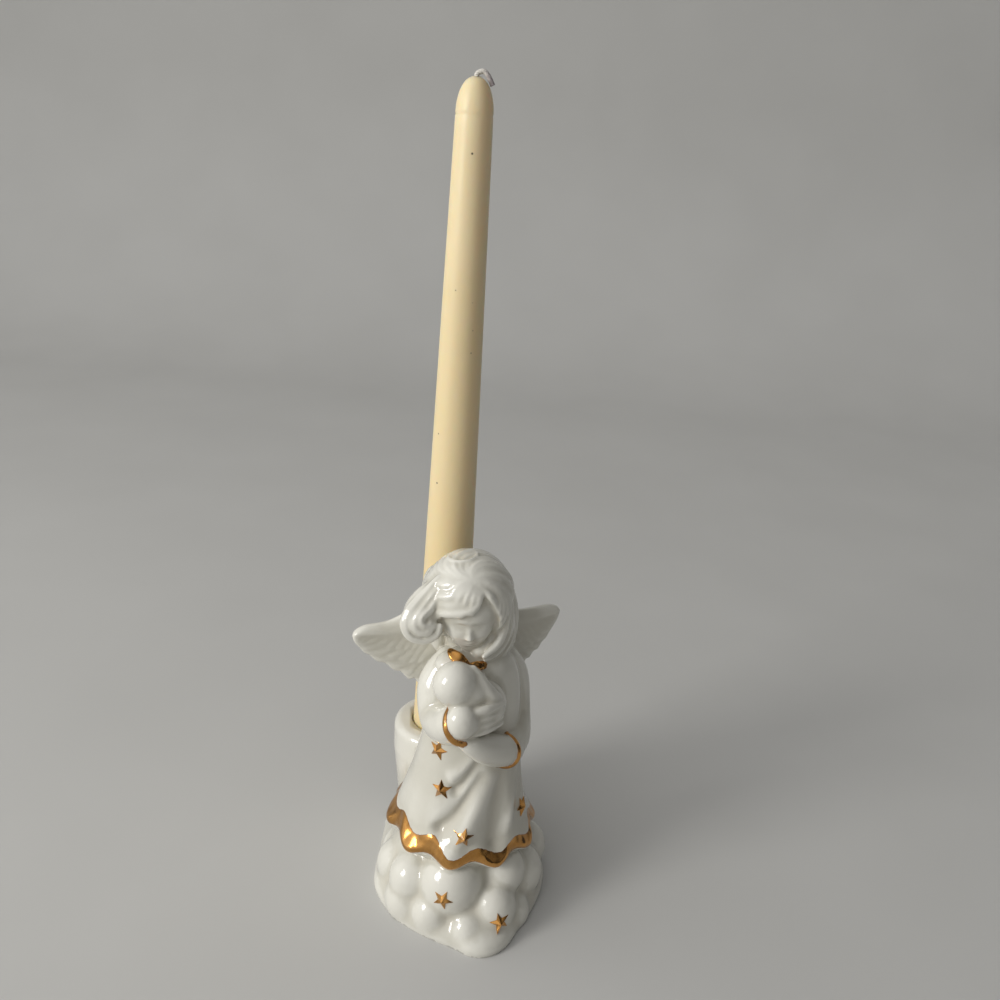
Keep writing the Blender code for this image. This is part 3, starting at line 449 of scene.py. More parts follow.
def add_collar(shape):
    """Two leaf-shaped collar lobes that meet in a V under the chin, and the neck behind them."""
    add_limb(shape, ((-0.0020, -0.0020, -0.004), (-0.0040, 0.0, 0.010)), (0.0078, 0.0070))
    add_ball(shape, at_bust(-0.0075, 0.0085, -0.0025), (0.0100, 0.0066, 0.0050))
    facing = Vector((-0.15, -0.80, 0.58)).normalized()
    for lobe, lobe_width in COLLAR_LOBES:
        path = smooth_path([at_bust(*place) for place in lobe], 8)
        rings = []
        for i, point in enumerate(path[1:-1], 1):
            along = (path[i + 1] - path[i - 1]).normalized()
            side = along.cross(facing).normalized()
            width = lobe_width * sin(pi * i / (len(path) - 1)) ** 0.7
            ring = []
            for k in range(24):
                turn = 2 * pi * k / 24
                hollow = 1 - 0.75 * bump(cos(turn), 0.55)
                ring.append(point + side * width * cos(turn) + facing * COLLAR_THICKNESS / 2 * sin(turn)
                            * (hollow if sin(turn) > 0 else 2.0))
            rings.append(ring)
        add_loft(shape, rings)


# The face's opening in the hair, as angles across and up from the middle of the face
FACE_WINDOW = (
    (-41, 4), (-37, 9), (-29, 12), (-20, 16), (-11, 16), (-4, 21), (4, 20), (10, 26), (14, 28),
    (19, 39), (25, 51), (29, 44), (35, 24), (40, 6), (41, -14), (37, -36), (28, -60), (10, -76),
    (-12, -76), (-28, -60), (-35, -40), (-40, -18),
)
# The whorl that the hair is combed from: angles across and up
WHORL = (radians(15), radians(64))
# The face's distance from the head's centre: angle up, share of the head's radius
FACE_PROFILE = (
    (-91, 0.55), (-78, 0.66), (-68, 0.82), (-61, 0.98), (-55, 1.09), (-50, 1.150), (-44, 1.160),
    (-38, 1.125), (-32, 1.085), (-26, 1.045), (-20, 1.005), (-14, 0.965), (-8, 0.935), (0, 0.905),
    (10, 0.915), (20, 0.930), (40, 0.925), (91, 0.90),
)
FACE_CURVE = smooth_table(FACE_PROFILE, 4)
# Face forms: angles across and up, widths across and up, rise; off the middle they are on both sides.
# In order: nose, bridge, nostril, eye hollow, eyelid, lash line, brow, cheek, lips, grooves, chin
FACE_FORMS = (
    (0, -16.5, 4.0, 3.8, 0.00150), (0, -9.0, 3.4, 5.0, 0.00070), (3.8, -18.3, 2.3, 2.1, 0.00050),
    (11.5, -1.0, 7.0, 5.0, -0.00065), (11.5, -2.2, 5.2, 3.4, 0.00055),
    (11.5, -5.4, 5.4, 0.9, -0.00034), (11, 7.0, 8.0, 2.6, 0.00022), (21, -19, 9, 9, 0.00060),
    (2.2, -27.2, 3.2, 1.4, 0.00042), (0, -29.4, 5.6, 0.8, -0.00055), (0, -31.4, 4.0, 1.5, 0.00055),
    (0, -24.5, 1.4, 2.0, -0.00018), (0, -35.6, 4.8, 2.2, -0.00045), (0, -43.5, 7.5, 5.0, 0.00060),
)


def at_head(x, y, z):
    """A place on the head: across, forward and up from its centre, as shares of its radius."""
    return HEAD_CENTRE + HEAD_TURN @ Vector((x, -y, z)) * HEAD_RADIUS


def on_head(across, up, rise=0.0):
    """A place on the hair at angles from the middle of the face, raised by a share of the radius."""
    a, b = radians(across), radians(up)
    return at_head(sin(a) * cos(b) * (1 + rise), cos(a) * cos(b) * (1 + rise), sin(b) * (1 + rise))


def inside_window(across, up):
    """Angle in degrees from the edge of the face's opening, positive inside it."""
    nearest = 180.0
    inside = False
    for (x0, y0), (x1, y1) in zip(FACE_WINDOW, FACE_WINDOW[1:] + FACE_WINDOW[:1]):
        if (y0 > up) != (y1 > up) and across < x0 + (up - y0) * (x1 - x0) / (y1 - y0):
            inside = not inside
        nearest = min(nearest, along_line(across - x0, up - y0, x1 - x0, y1 - y0)[1])
    return nearest if inside else -nearest


def face_distance(across, up):
    """Distance of the face's skin from the head's centre, with all the forms of the face."""
    aside = (across / 40) ** 2
    jaw = -55 + 18 * aside
    narrowing = 0.045 + 0.0055 * max(0.0, -up - 5)
    total = HEAD_RADIUS * (blend_table(FACE_CURVE, up) - narrowing * aside)
    total *= 1 - 0.30 * ease((jaw - up) / 20)
    shrink = cos(radians(up))
    for at_across, at_up, width, height, rise in FACE_FORMS:
        for side in ((1,) if at_across == 0 else (-1, 1)):
            beside = (across - side * at_across) * shrink
            total += rise * bump(hypot(beside / width, (up - at_up) / height), 1.0)
    return total


def hair_distance(direction):
    """Distance of the hair's skin from the head's centre, with strands swept from the whorl."""
    pole = Vector((sin(WHORL[0]) * cos(WHORL[1]), -cos(WHORL[0]) * cos(WHORL[1]), sin(WHORL[1])))
    away = direction.angle(pole)
    side = direction.cross(pole)
    around = atan2(side.z, side.x) + 0.9 * away
    wide = sin(7 * around + 1.6 * sin(2 * around)) * 0.00022
    fine = sin(29 * around + 2.4 * sin(3 * around) + 1.5 * away) * 0.00016
    return HEAD_RADIUS + (wide + fine) * min(1.0, away * 1.8)


def add_head(shape):
    """Face, hair cap and the small ring on the crown."""
    made = bmesh.ops.create_icosphere(shape, subdivisions=7, radius=1.0)
    for vert in made["verts"]:
        direction = vert.co.normalized()
        across = atan2(direction.x, -direction.y) * 180 / pi
        up = asin(max(-1.0, min(1.0, direction.z))) * 180 / pi
        distance = hair_distance(direction)
        if abs(across) < 65 and up < 70:
            edge = inside_window(across, up)
            opened = 1 / (1 + exp(-edge * 1.5))
            if opened > 0.001:
                distance += (face_distance(across, up) - distance) * opened
        vert.co = HEAD_CENTRE + HEAD_TURN @ (direction * distance)
    crown = HEAD_CENTRE + Vector((-0.16, 0.06, 0.925)) * HEAD_RADIUS
    path = ring_path(crown, Vector((-0.12, 0.10, 1.0)), HAIR_RING_RADIUS)
    add_tube(shape, path, [HAIR_RING_THICKNESS / 2] * len(path), sides=12, steps=2)


# Fringe locks: angles across and up on the head where each starts, bends and ends
FRINGE = (
    ((24, 54), (17, 41), (9, 26)), ((21, 57), (8, 43), (-1, 22)), ((17, 61), (-2, 46), (-13, 18)),
    ((12, 64), (-14, 48), (-25, 16)), ((6, 67), (-27, 50), (-36, 12)), ((26, 52), (35, 38), (42, 14)),
)
# Radii of a fringe lock at those three places and how deep it is sunk, in head radii
FRINGE_SIZES = (0.04, 0.085, 0.040)
FRINGE_SINK = -0.045
# Locks: places across, forward and up from the head's centre with the radius there, in head radii.
# First those beside the left cheek, then the three curls on the right, then the hair down the back
LOCKS = (
    ((0.46, 0.66, 0.40, 0.07), (0.56, 0.68, 0.10, 0.10), (0.62, 0.66, -0.25, 0.11),
     (0.60, 0.64, -0.62, 0.11), (0.42, 0.72, -0.90, 0.10), (0.10, 0.84, -1.06, 0.06)),
    ((0.50, 0.44, -0.10, 0.16), (0.54, 0.42, -0.55, 0.20), (0.40, 0.44, -0.95, 0.22),
     (0.10, 0.52, -1.12, 0.18)),
    ((0.62, 0.52, 0.34, 0.08), (0.70, 0.56, 0.00, 0.11), (0.75, 0.54, -0.42, 0.12),
     (0.70, 0.54, -0.84, 0.12), (0.48, 0.64, -1.10, 0.10), (0.14, 0.80, -1.18, 0.05)),
    ((0.76, 0.36, 0.24, 0.10), (0.84, 0.38, -0.12, 0.14), (0.88, 0.36, -0.59, 0.15),
     (0.82, 0.38, -1.03, 0.14), (0.58, 0.54, -1.26, 0.11), (0.21, 0.72, -1.30, 0.05)),
    ((0.86, 0.12, 0.16, 0.12), (0.95, 0.12, -0.30, 0.17), (0.99, 0.12, -0.80, 0.18),
     (0.92, 0.18, -1.22, 0.16), (0.68, 0.36, -1.42, 0.12), (0.38, 0.58, -1.42, 0.06)),
    ((0.80, -0.14, 0.10, 0.20), (0.90, -0.16, -0.44, 0.24), (0.94, -0.12, -0.95, 0.22),
     (0.86, -0.02, -1.36, 0.16)),
    ((-0.80, 0.02, 0.34, 0.16), (-1.02, 0.04, 0.08, 0.24), (-1.18, 0.08, -0.22, 0.28),
     (-1.10, 0.12, -0.52, 0.25), (-0.80, 0.14, -0.66, 0.18)),
    ((-0.84, 0.16, 0.30, 0.14), (-0.96, 0.22, 0.02, 0.20), (-0.98, 0.28, -0.28, 0.22),
     (-0.90, 0.32, -0.46, 0.16)),
    ((-0.74, 0.16, 0.62, 0.05), (-0.93, 0.15, 0.36, 0.10), (-1.13, 0.16, 0.12, 0.125),
     (-1.36, 0.20, -0.10, 0.135), (-1.47, 0.26, -0.36, 0.135), (-1.37, 0.33, -0.60, 0.13),
     (-1.10, 0.41, -0.69, 0.12), (-0.86, 0.49, -0.55, 0.10), (-0.80, 0.53, -0.34, 0.06)),
    ((-0.72, 0.30, 0.50, 0.05), (-0.89, 0.28, 0.28, 0.095), (-1.07, 0.29, 0.05, 0.115),
     (-1.25, 0.34, -0.13, 0.115), (-1.33, 0.38, -0.31, 0.115), (-1.22, 0.42, -0.46, 0.11),
     (-1.04, 0.47, -0.47, 0.10), (-0.93, 0.51, -0.32, 0.06)),
    ((-0.72, 0.42, 0.36, 0.05), (-0.87, 0.38, 0.16, 0.09), (-1.02, 0.39, -0.02, 0.105),
     (-1.17, 0.42, -0.13, 0.105), (-1.21, 0.45, -0.24, 0.095), (-1.12, 0.48, -0.32, 0.085),
     (-1.01, 0.51, -0.27, 0.05)),
    ((0.42, -0.56, 0.20, 0.34), (0.50, -0.62, -0.50, 0.34), (0.44, -0.52, -1.05, 0.28),
     (0.34, -0.42, -1.45, 0.14)),
    ((-0.02, -0.62, 0.20, 0.36), (-0.04, -0.72, -0.55, 0.36), (-0.02, -0.60, -1.15, 0.30),
     (0.00, -0.48, -1.60, 0.14)),
    ((-0.48, -0.54, 0.20, 0.34), (-0.56, -0.60, -0.50, 0.34), (-0.50, -0.50, -1.05, 0.28),
     (-0.42, -0.40, -1.45, 0.14)),
)


def beside_head(x, y, z):
    """A place beside the head, in head radii across, forward and up from its centre."""
    return HEAD_CENTRE + Vector((x, -y, z)) * HEAD_RADIUS


def add_locks(shape):
    """Fringe, locks beside the cheek, curls blown to the figure's right, and the hair down the back."""
    fringe_sizes = [size * HEAD_RADIUS for size in FRINGE_SIZES]
    for lock in FRINGE:
        places = [on_head(across, up, FRINGE_SINK) for across, up in lock]
        add_tube(shape, places, fringe_sizes, sides=30, steps=12, strands=5, groove=0.10, twist=1.0)
    for lock in LOCKS:
        places = [beside_head(x, y, z) for x, y, z, size in lock]
        sizes = [size * HEAD_RADIUS for x, y, z, size in lock]
        strands = max(5, round(2 * pi * max(sizes) / HAIR_STRAND))
        add_tube(shape, places, sizes, sides=8 * strands, strands=strands,
                 groove=HAIR_GROOVE / max(sizes), twist=0.7)


# Wing edges from root to tip: share of the span, height above the shoulders, share of the sweep
WINGS = {
    -1: (((0.14, 0.0150, 0.45), (0.38, 0.0132, 0.72), (0.55, 0.0080, 0.88), (0.70, 0.0050, 0.96),
          (0.88, 0.0046, 1.0), (1.0, 0.0034, 1.0)),
         ((0.14, -0.0225, 0.45), (0.34, -0.0215, 0.70), (0.46, -0.0200, 0.80), (0.64, -0.0145, 0.90),
          (0.84, -0.0090, 1.0), (0.955, -0.0045, 1.0))),
    1: (((0.14, 0.0085, 0.45), (0.36, 0.0060, 0.70), (0.53, 0.0038, 0.85), (0.70, 0.0030, 0.95),
         (0.88, 0.0034, 1.0), (1.0, 0.0034, 1.0)),
        ((0.14, -0.0265, 0.45), (0.40, -0.0255, 0.70), (0.60, -0.0220, 0.85), (0.70, -0.0185, 0.90),
         (0.82, -0.0142, 0.97), (0.945, -0.0070, 1.0))),
}
# Rows of feathers: where each ends along the chord, feathers along the span, slant and rise
FEATHER_ROWS = (
    (0.30, 0, 0.0, 0.0), (0.50, 11, 0.10, 0.00024), (0.72, 9, 0.16, 0.00030), (1.01, 8, 0.24, 0.00036),
)


def feather_relief(span, chord):
    """Rise of the wing's skin: each feather swells to its tip, and a groove parts it from the next."""
    start = 0.0
    for end, count, slant, rise in FEATHER_ROWS:
        if chord < end or end > 1:
            if count == 0:
                return 0.0
            along = (chord - start) / (end - start)
            place = (span - slant * along) * count + start * 7
            side = abs(2 * (place - int(place // 1)) - 1)
            return rise * (0.25 + 0.75 * along) * (1 - side ** 3) - rise * 0.5 * bump(1 - side, 0.22)
        start = end
    return 0.0


def add_wing(shape, side):
    """One wing: a thick leading edge that thins to three rows of soft feathers."""
    steps, around = 32, 160
    edges = [[(side * x * WING_SPAN, y * WING_BACK, SHOULDER_HEIGHT + z) for x, z, y in rows]
             for rows in WINGS[side]]
    top, bottom = [smooth_path(edge, steps) for edge in edges]
    rings = []
    for i, (upper, lower) in enumerate(zip(top, bottom)):
        span = i / (len(top) - 1)
        taper = max(0.0, 1 - span ** 10) ** 0.5
        middle = (upper + lower) / 2
        ring = []
        for k in range(around):
            turn = 2 * pi * k / around
            chord = 0.5 - 0.5 * cos(turn) * (0.35 + 0.65 * taper)
            scallop = 0.030 * (cos(2 * pi * 7 * (span - 0.3 * chord)) - 0.4) * ease((chord - 0.72) / 0.28)
            edge_point = upper.lerp(lower, chord + scallop * taper)
            edge_point = middle.lerp(edge_point, 0.25 + 0.75 * taper)
            roll = bump(chord - 0.13, 0.17)
            thickness = WING_THICKNESS * (0.22 + 0.30 * roll) * taper + 0.0004
            full = ease((abs(sin(turn)) - 0.15) / 0.35)
            offset = thickness * abs(sin(turn)) ** 0.7 + feather_relief(span, chord) * taper * full
            offset = offset if sin(turn) > 0 else -offset
            ring.append(edge_point + Vector((0, -offset, 0)))
        rings.append(ring if side > 0 else list(reversed(ring)))
    add_loft(shape, rings)


def add_cup(shape):
    """The candle cup behind the robe, with a thick rounded rim; its bore is cut later."""
    rim = CUP_RIM_DIAMETER / 2
    foot = CUP_FOOT_DIAMETER / 2
    r = RIM_ROUNDING
    profile = smooth_table([(foot * 0.9, 0.004), (foot, 0.016), (foot + (rim - foot) * 0.45, 0.028),
                            (rim, CUP_RIM_HEIGHT - 0.012)], 6)
    for k in range(13):
        turn = pi / 2 * k / 12
        profile.append((rim - r + r * cos(turn), CUP_RIM_HEIGHT - r + r * sin(turn)))
    add_turned(shape, profile, CUP_OFFSET)


def assign(thing, **settings):
    """Give a thing its settings."""
    for name, value in settings.items():
        setattr(thing, name, value)
    return thing


def make_object(name, shape, material=None):
    """An object from finished geometry, with its faces pointing out and shaded smooth."""
    bmesh.ops.recalc_face_normals(shape, faces=shape.faces)
    mesh = bpy.data.meshes.new(name)
    shape.to_mesh(mesh)
    shape.free()
    mesh.shade_smooth()
    item = bpy.data.objects.new(name, mesh)
    bpy.context.scene.collection.objects.link(item)
    if material:
        mesh.materials.append(material)
    return item


def apply_modifiers(item):
    """Turn the object's modifiers into its own mesh."""
    graph = bpy.context.evaluated_depsgraph_get()
    finished = bpy.data.meshes.new_from_object(item.evaluated_get(graph))
    item.modifiers.clear()
    old = item.data
    item.data = finished
    bpy.data.meshes.remove(old)


def read_rows(items, name, width, kind=float):
    """One property of every vertex or edge of a mesh, as an array with a row for each."""
    flat = np.empty(len(items) * width, dtype=kind)
    items.foreach_get(name, flat)
    return flat.reshape(-1, width)


def neighbour_mean(values, edges):
    """Mean of each vertex's neighbours."""
    count = len(values)
    number = np.bincount(edges.ravel(), minlength=count).clip(1)
    result = np.empty_like(values)
    for axis in range(values.shape[1]):
        column = values[:, axis]
        total = np.bincount(edges[:, 0], weights=column[edges[:, 1]], minlength=count)
        total += np.bincount(edges[:, 1], weights=column[edges[:, 0]], minlength=count)
        result[:, axis] = total / number
    return result


def soften_glaze(mesh):
    """Let the glaze round every edge a little."""
    points = read_rows(mesh.vertices, "co", 3)
    edges = read_rows(mesh.edges, "vertices", 2, np.int64)
    for step in range(GLAZE_STEPS):
        points += (neighbour_mean(points, edges) - points) * 0.5
    mesh.vertices.foreach_set("co", points.ravel())
    mesh.update()


def melt_into(shape, forms, voxel, steps):
    """Add a group of forms to the shape, run together into one soft skin with filled creases."""
    group = bmesh.new()
    for add_form in forms:
        add_form(group)
    item = make_object("melted_group", group)
    assign(item.modifiers.new("one_skin", "REMESH"), mode="VOXEL", voxel_size=voxel)
    assign(item.modifiers.new("soft_creases", "SMOOTH"), factor=0.5, iterations=steps)
    apply_modifiers(item)
    shape.from_mesh(item.data)
    bpy.data.objects.remove(item, do_unlink=True)


def cut_away(item, tools):
    """Cut other closed shapes out of an object, and remove them."""
    for tool in tools:
        assign(item.modifiers.new(tool.name, "BOOLEAN"), operation="DIFFERENCE", solver="EXACT",
               object=tool)
    apply_modifiers(item)
    for tool in tools:
        bpy.data.objects.remove(tool, do_unlink=True)


# Stars on robe and cloud: angle around the robe, height, tilt of the star
STARS = (
    (-53, 0.0722, 8), (-44, 0.0574, -6), (-20, 0.0416, 12), (45, 0.0429, -10), (-31, 0.0180, 20),
    (4, 0.0095, -14),
)


def add_stars(body):
    """Small raised stars, faceted to a point, laid on the body's surface and joined to its mesh."""
    shape = bmesh.new()
    shape.from_mesh(body.data)
    for angle, height, tilt in STARS:
        outward = Vector((sin(radians(angle)), -cos(radians(angle)), 0))
        place, normal = body.ray_cast(outward * 0.1 + Vector((0, 0, height)), -outward)[1:3]
        across = Vector((0, 0, 1)).cross(normal).normalized()
        up = normal.cross(across)
        root, crest = [], []
        for k in range(10):
            turn = radians(tilt) + pi * k / 5
            reach = STAR_RADIUS if k % 2 == 0 else STAR_RADIUS * 0.45
            start = place + (across * sin(turn) + up * cos(turn)) * reach
            found, point = body.ray_cast(start + normal * 0.004, -normal)[:2]
            point = point if found and (point - start).length < 0.003 else start
            root.append(shape.verts.new(point - normal * STAR_ROOT))
            crest.append(shape.verts.new(point + normal * STAR_EDGE))
        peak = shape.verts.new(place + normal * STAR_RISE)
        for k in range(10):
            j = (k + 1) % 10
            for corners in ((root[k], root[j], crest[j], crest[k]), (crest[k], crest[j], peak)):
                face = shape.faces.new(corners)
                face.smooth = False
        shape.faces.new(list(reversed(root)))
    shape.to_mesh(body.data)
    shape.free()


def path_distance(points, path, sizes):
    """Distance of each point from a string of round beads of varying size, negative inside."""
    nearest = np.full(len(points), 1.0)
    for start, end, low, high in zip(path, path[1:], sizes, sizes[1:]):
        a, b = np.array(start), np.array(end)
        along = np.clip(((points - a) @ (b - a)) / max(1e-12, (b - a) @ (b - a)), 0, 1)
        gap = np.linalg.norm(points - a - along[:, None] * (b - a), axis=1) - (low + (high - low) * along)
        nearest = np.minimum(nearest, gap)
    return nearest


def gold_distance(points):
    """Distance from the edge of the gold on hem, collar and cuffs, negative where there is gold."""
    x, y, z = points.T
    angle = np.arctan2(x, -y)
    to_right = np.degrees(-angle)
    side = np.clip((to_right - 30) / 16, 0, 1) * np.clip((150 - to_right) / 30, 0, 1)
    lower = hem_height(angle)
    upper = lower + GOLD_BAND + GOLD_BAND_EXTRA * side + GOLD_BAND_SWING * np.cos(HEM_WAVES * angle + 0.6)
    inside = GOLD_INNER_RADIUS - np.hypot(x, y)
    cup = CUP_RIM_DIAMETER / 2 + 0.0002 - np.hypot(x, y - CUP_OFFSET)
    distance = np.maximum(np.maximum(z - upper, lower + GOLD_ABOVE_EDGE - z), np.maximum(inside, cup))
    for lobe, lobe_width in COLLAR_LOBES:
        path = smooth_path([at_bust(*place) for place in lobe], 4)
        sizes = [0.0004 + lobe_width * sin(pi * k / (len(path) - 1)) ** 0.7 for k in range(len(path))]
        distance = np.minimum(distance, path_distance(points, path, sizes))
    for centre, facing, radius in CUFFS:
        path = ring_path(at_bust(*centre), Vector(facing), radius)
        sizes = [CUFF_THICKNESS * 0.62] * len(path)
        distance = np.minimum(distance, path_distance(points, path, sizes))
    return distance


def store(mesh, name, values):
    """Keep one number for each vertex, for the materials to read."""
    attribute = mesh.attributes.new(name, "FLOAT", "POINT")
    attribute.data.foreach_set("value", np.asarray(values, dtype=np.float32))


def mark_surface(mesh, body_vertices):
    """Store where the gold lies and how hollow or proud the surface is, for the glaze's painted shade and
    painted light.
    """
    points = read_rows(mesh.vertices, "co", 3)
    edges = read_rows(mesh.edges, "vertices", 2, np.int64)
    distance = gold_distance(points)
    distance[body_vertices:] = -0.001
    store(mesh, "gold_edge", distance * 1000)
    normals = read_rows(mesh.vertices, "normal", 3)
    smooth = points
    for step in range(10):
        smooth = smooth + (neighbour_mean(smooth, edges) - smooth) * 0.6
    # How deep each point lies in a hollow or how proud it stands; the glaze paints shade and light from
    # this
    hollow = ((smooth - points) * normals).sum(axis=1)[:, None]
    for step in range(6):
        hollow = neighbour_mean(hollow, edges)
    store(mesh, "hollow", np.clip(hollow[:, 0] * 12000, -1, 1))


def make_figurine(material):
    """The one porcelain casting: cloud, robe, arms, bundle, head, wings, cup and stars."""
    shape = bmesh.new()
    melt_into(shape, (add_base,), *CLOUD_SKIN)
    melt_into(shape, (add_robe, add_sleeves), *BODY_SKIN)
    melt_into(shape, (add_hands, add_bundle), *HAND_SKIN)
    melt_into(shape, (add_locks,), *HAIR_SKIN)
    add_fingers(shape)
    add_cuffs(shape)
    add_collar(shape)
    add_head(shape)
    add_wing(shape, -1)
    add_wing(shape, 1)
    add_cup(shape)
    figurine = make_object("angel_porcelain", shape, material)
    assign(figurine.modifiers.new("moulded_skin", "REMESH"), mode="VOXEL", voxel_size=SKIN_VOXEL,
           use_smooth_shade=True)
    apply_modifiers(figurine)
    soften_glaze(figurine.data)
    triangles = 2 * len(figurine.data.polygons)
    assign(figurine.modifiers.new("fewer_facets", "DECIMATE"), ratio=min(1.0, SKIN_TRIANGLES / triangles))
    apply_modifiers(figurine)

    socket = bmesh.new()
    radius = CANDLE_DIAMETER / 2 + CLEARANCE
    add_turned(socket, ((radius, SEAT_HEIGHT), (radius, CUP_RIM_HEIGHT + 0.01)), CUP_OFFSET)
    bore = make_object("socket_bore", socket)
    floor = bmesh.new()
    reach = BASE_FRONT + BASE_BACK
    bmesh.ops.create_cube(floor, size=2 * reach, matrix=Matrix.Translation((0, 0, -reach)))
    plane = make_object("sole_plane", floor)
    cut_away(figurine, (bore, plane))
    body_vertices = len(figurine.data.vertices)
    add_stars(figurine)
    mark_surface(figurine.data, body_vertices)
    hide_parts("figurine")
    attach(figurine, "root")


def candle_radius(share):
    """Radius of the taper at a share of the way from its foot to the start of its point."""
    return (CANDLE_DIAMETER + (CANDLE_TOP_DIAMETER - CANDLE_DIAMETER) * share) / 2


def make_candle(material):
    """The dipped taper: a long cone, a faint seam under its point and a dimple for the wick."""
    foot = SEAT_HEIGHT + CLEARANCE
    shaft = CANDLE_LENGTH - CANDLE_POINT_LENGTH
    profile = [(CANDLE_DIAMETER / 2 - CANDLE_FOOT_ROUNDING, foot),
               (CANDLE_DIAMETER / 2, foot + CANDLE_FOOT_ROUNDING)]
    for k in range(1, 60):
        share = k / 60
        profile.append((candle_radius(share), foot + shaft * share))
    top = CANDLE_TOP_DIAMETER / 2
    shoulder = foot + shaft
    profile += [(top + 0.00002, shoulder - 0.0008), (top - CANDLE_SEAM, shoulder - 0.0002),
                (top, shoulder + 0.0004)]
    for k in range(1, 16):
        turn = pi / 2 * k / 16
        profile.append((top * cos(turn) ** 0.85, shoulder + CANDLE_POINT_LENGTH * sin(turn)))
    flat = WICK_DIAMETER / 2 + 0.0008
    profile += [(flat, foot + CANDLE_LENGTH - 0.0001), (flat * 0.72, foot + CANDLE_LENGTH - 0.0003)]
    shape = bmesh.new()
    add_turned(shape, profile, CUP_OFFSET, sides=128)
    candle = make_object("wax_taper", shape, material)
    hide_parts("candle")
    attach(candle, "root")


def make_wick(material):
    """The cotton wick, a flat braid folded down to the figure's left."""
    top = SEAT_HEIGHT + CLEARANCE + CANDLE_LENGTH
    points = ((0, 0, top - WICK_ROOT), (0, 0, top - 0.0002), (0.0004, 0, top + WICK_RISE * 0.6),
              (0.0020, -0.0006, top + WICK_RISE), (0.55 * WICK_REACH, -0.0012, top + 0.4 * WICK_RISE),
              (WICK_REACH * 0.85, -0.0018, top - 0.0024))
    path = smooth_path([(x, CUP_OFFSET + y, z) for x, y, z in points], 14)

    def braid(i, turn):
        strands = abs(cos(2 * turn + 0.55 * i) * cos(2 * turn - 0.55 * i))
        return WICK_DIAMETER / 2 * (0.88 + 0.12 * strands)

    shape = bmesh.new()
    add_sweep(shape, path, Vector((0, 1, 0)), 40, braid)
    wick = make_object("cotton_wick", shape, material)
    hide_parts("wick")
    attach(wick, "root")


class Nodes:
    """Short words for building the node tree of a material or of the world."""

    def __init__(self, owner, shader="Principled BSDF"):
        owner.use_nodes = True
        self.owner = owner
        self.tree = owner.node_tree
        self.shader = self.tree.nodes[shader]

    def add(self, kind, inputs=(), **settings):
        """A new node with its settings and inputs; an input is a value or another node's output."""
        node = assign(self.tree.nodes.new(kind), **settings)
        for name, value in dict(inputs).items():
            if isinstance(value, bpy.types.NodeSocket):
                self.tree.links.new(value, node.inputs[name])
            else:
                node.inputs[name].default_value = value
        return node

    def set(self, **values):
        """Plain values on the shader's own sockets; underscores stand for spaces."""
        for name, value in values.items():
            self.shader.inputs[name.replace("_", " ")].default_value = value

    def link(self, output, name):
        """Feed the shader's socket of that name."""
        self.tree.links.new(output, self.shader.inputs[name])

    def noise(self, scale, detail=2.0, stretch=None):
        """Noise in the object's own space, in metres."""
        place = self.add("ShaderNodeTexCoord").outputs["Object"]
        if stretch:
            place = self.add("ShaderNodeMapping", {"Vector": place, "Scale": stretch}).outputs["Vector"]
        settings = {"Vector": place, "Scale": scale, "Detail": detail}
        return self.add("ShaderNodeTexNoise", settings).outputs["Fac"]

    def ramp(self, value, low, high, to_low=0.0, to_high=1.0):
        """The value's range low to high, mapped to another range and held at its ends."""
        node = self.add("ShaderNodeMapRange", {"Value": value, "From Min": low, "From Max": high,
                                               "To Min": to_low, "To Max": to_high})
        return node.outputs["Result"]

    def math(self, operation, first, second):
        """Arithmetic on two values."""
        return self.add("ShaderNodeMath", {0: first, 1: second}, operation=operation).outputs[0]

    def mix(self, factor, first, second, kind="RGBA"):
        """Mix two colours or two values."""
        node = self.add("ShaderNodeMix", data_type=kind)
        ending = "_Color" if kind == "RGBA" else "_Float"
        for name, value in (("Factor_Float", factor), ("A" + ending, first), ("B" + ending, second)):
            socket = next(s for s in node.inputs if s.identifier == name)
            if isinstance(value, bpy.types.NodeSocket):
                self.tree.links.new(value, socket)
            else:
                socket.default_value = (*value, 1.0) if isinstance(value, tuple) else value
        return next(s for s in node.outputs if s.identifier == "Result" + ending)

    def bump(self, height, distance, strength=1.0):
        """Surface relief from a height value, in metres."""
        node = self.add("ShaderNodeBump", {"Height": height, "Distance": distance, "Strength": strength})
        self.link(node.outputs["Normal"], "Normal")


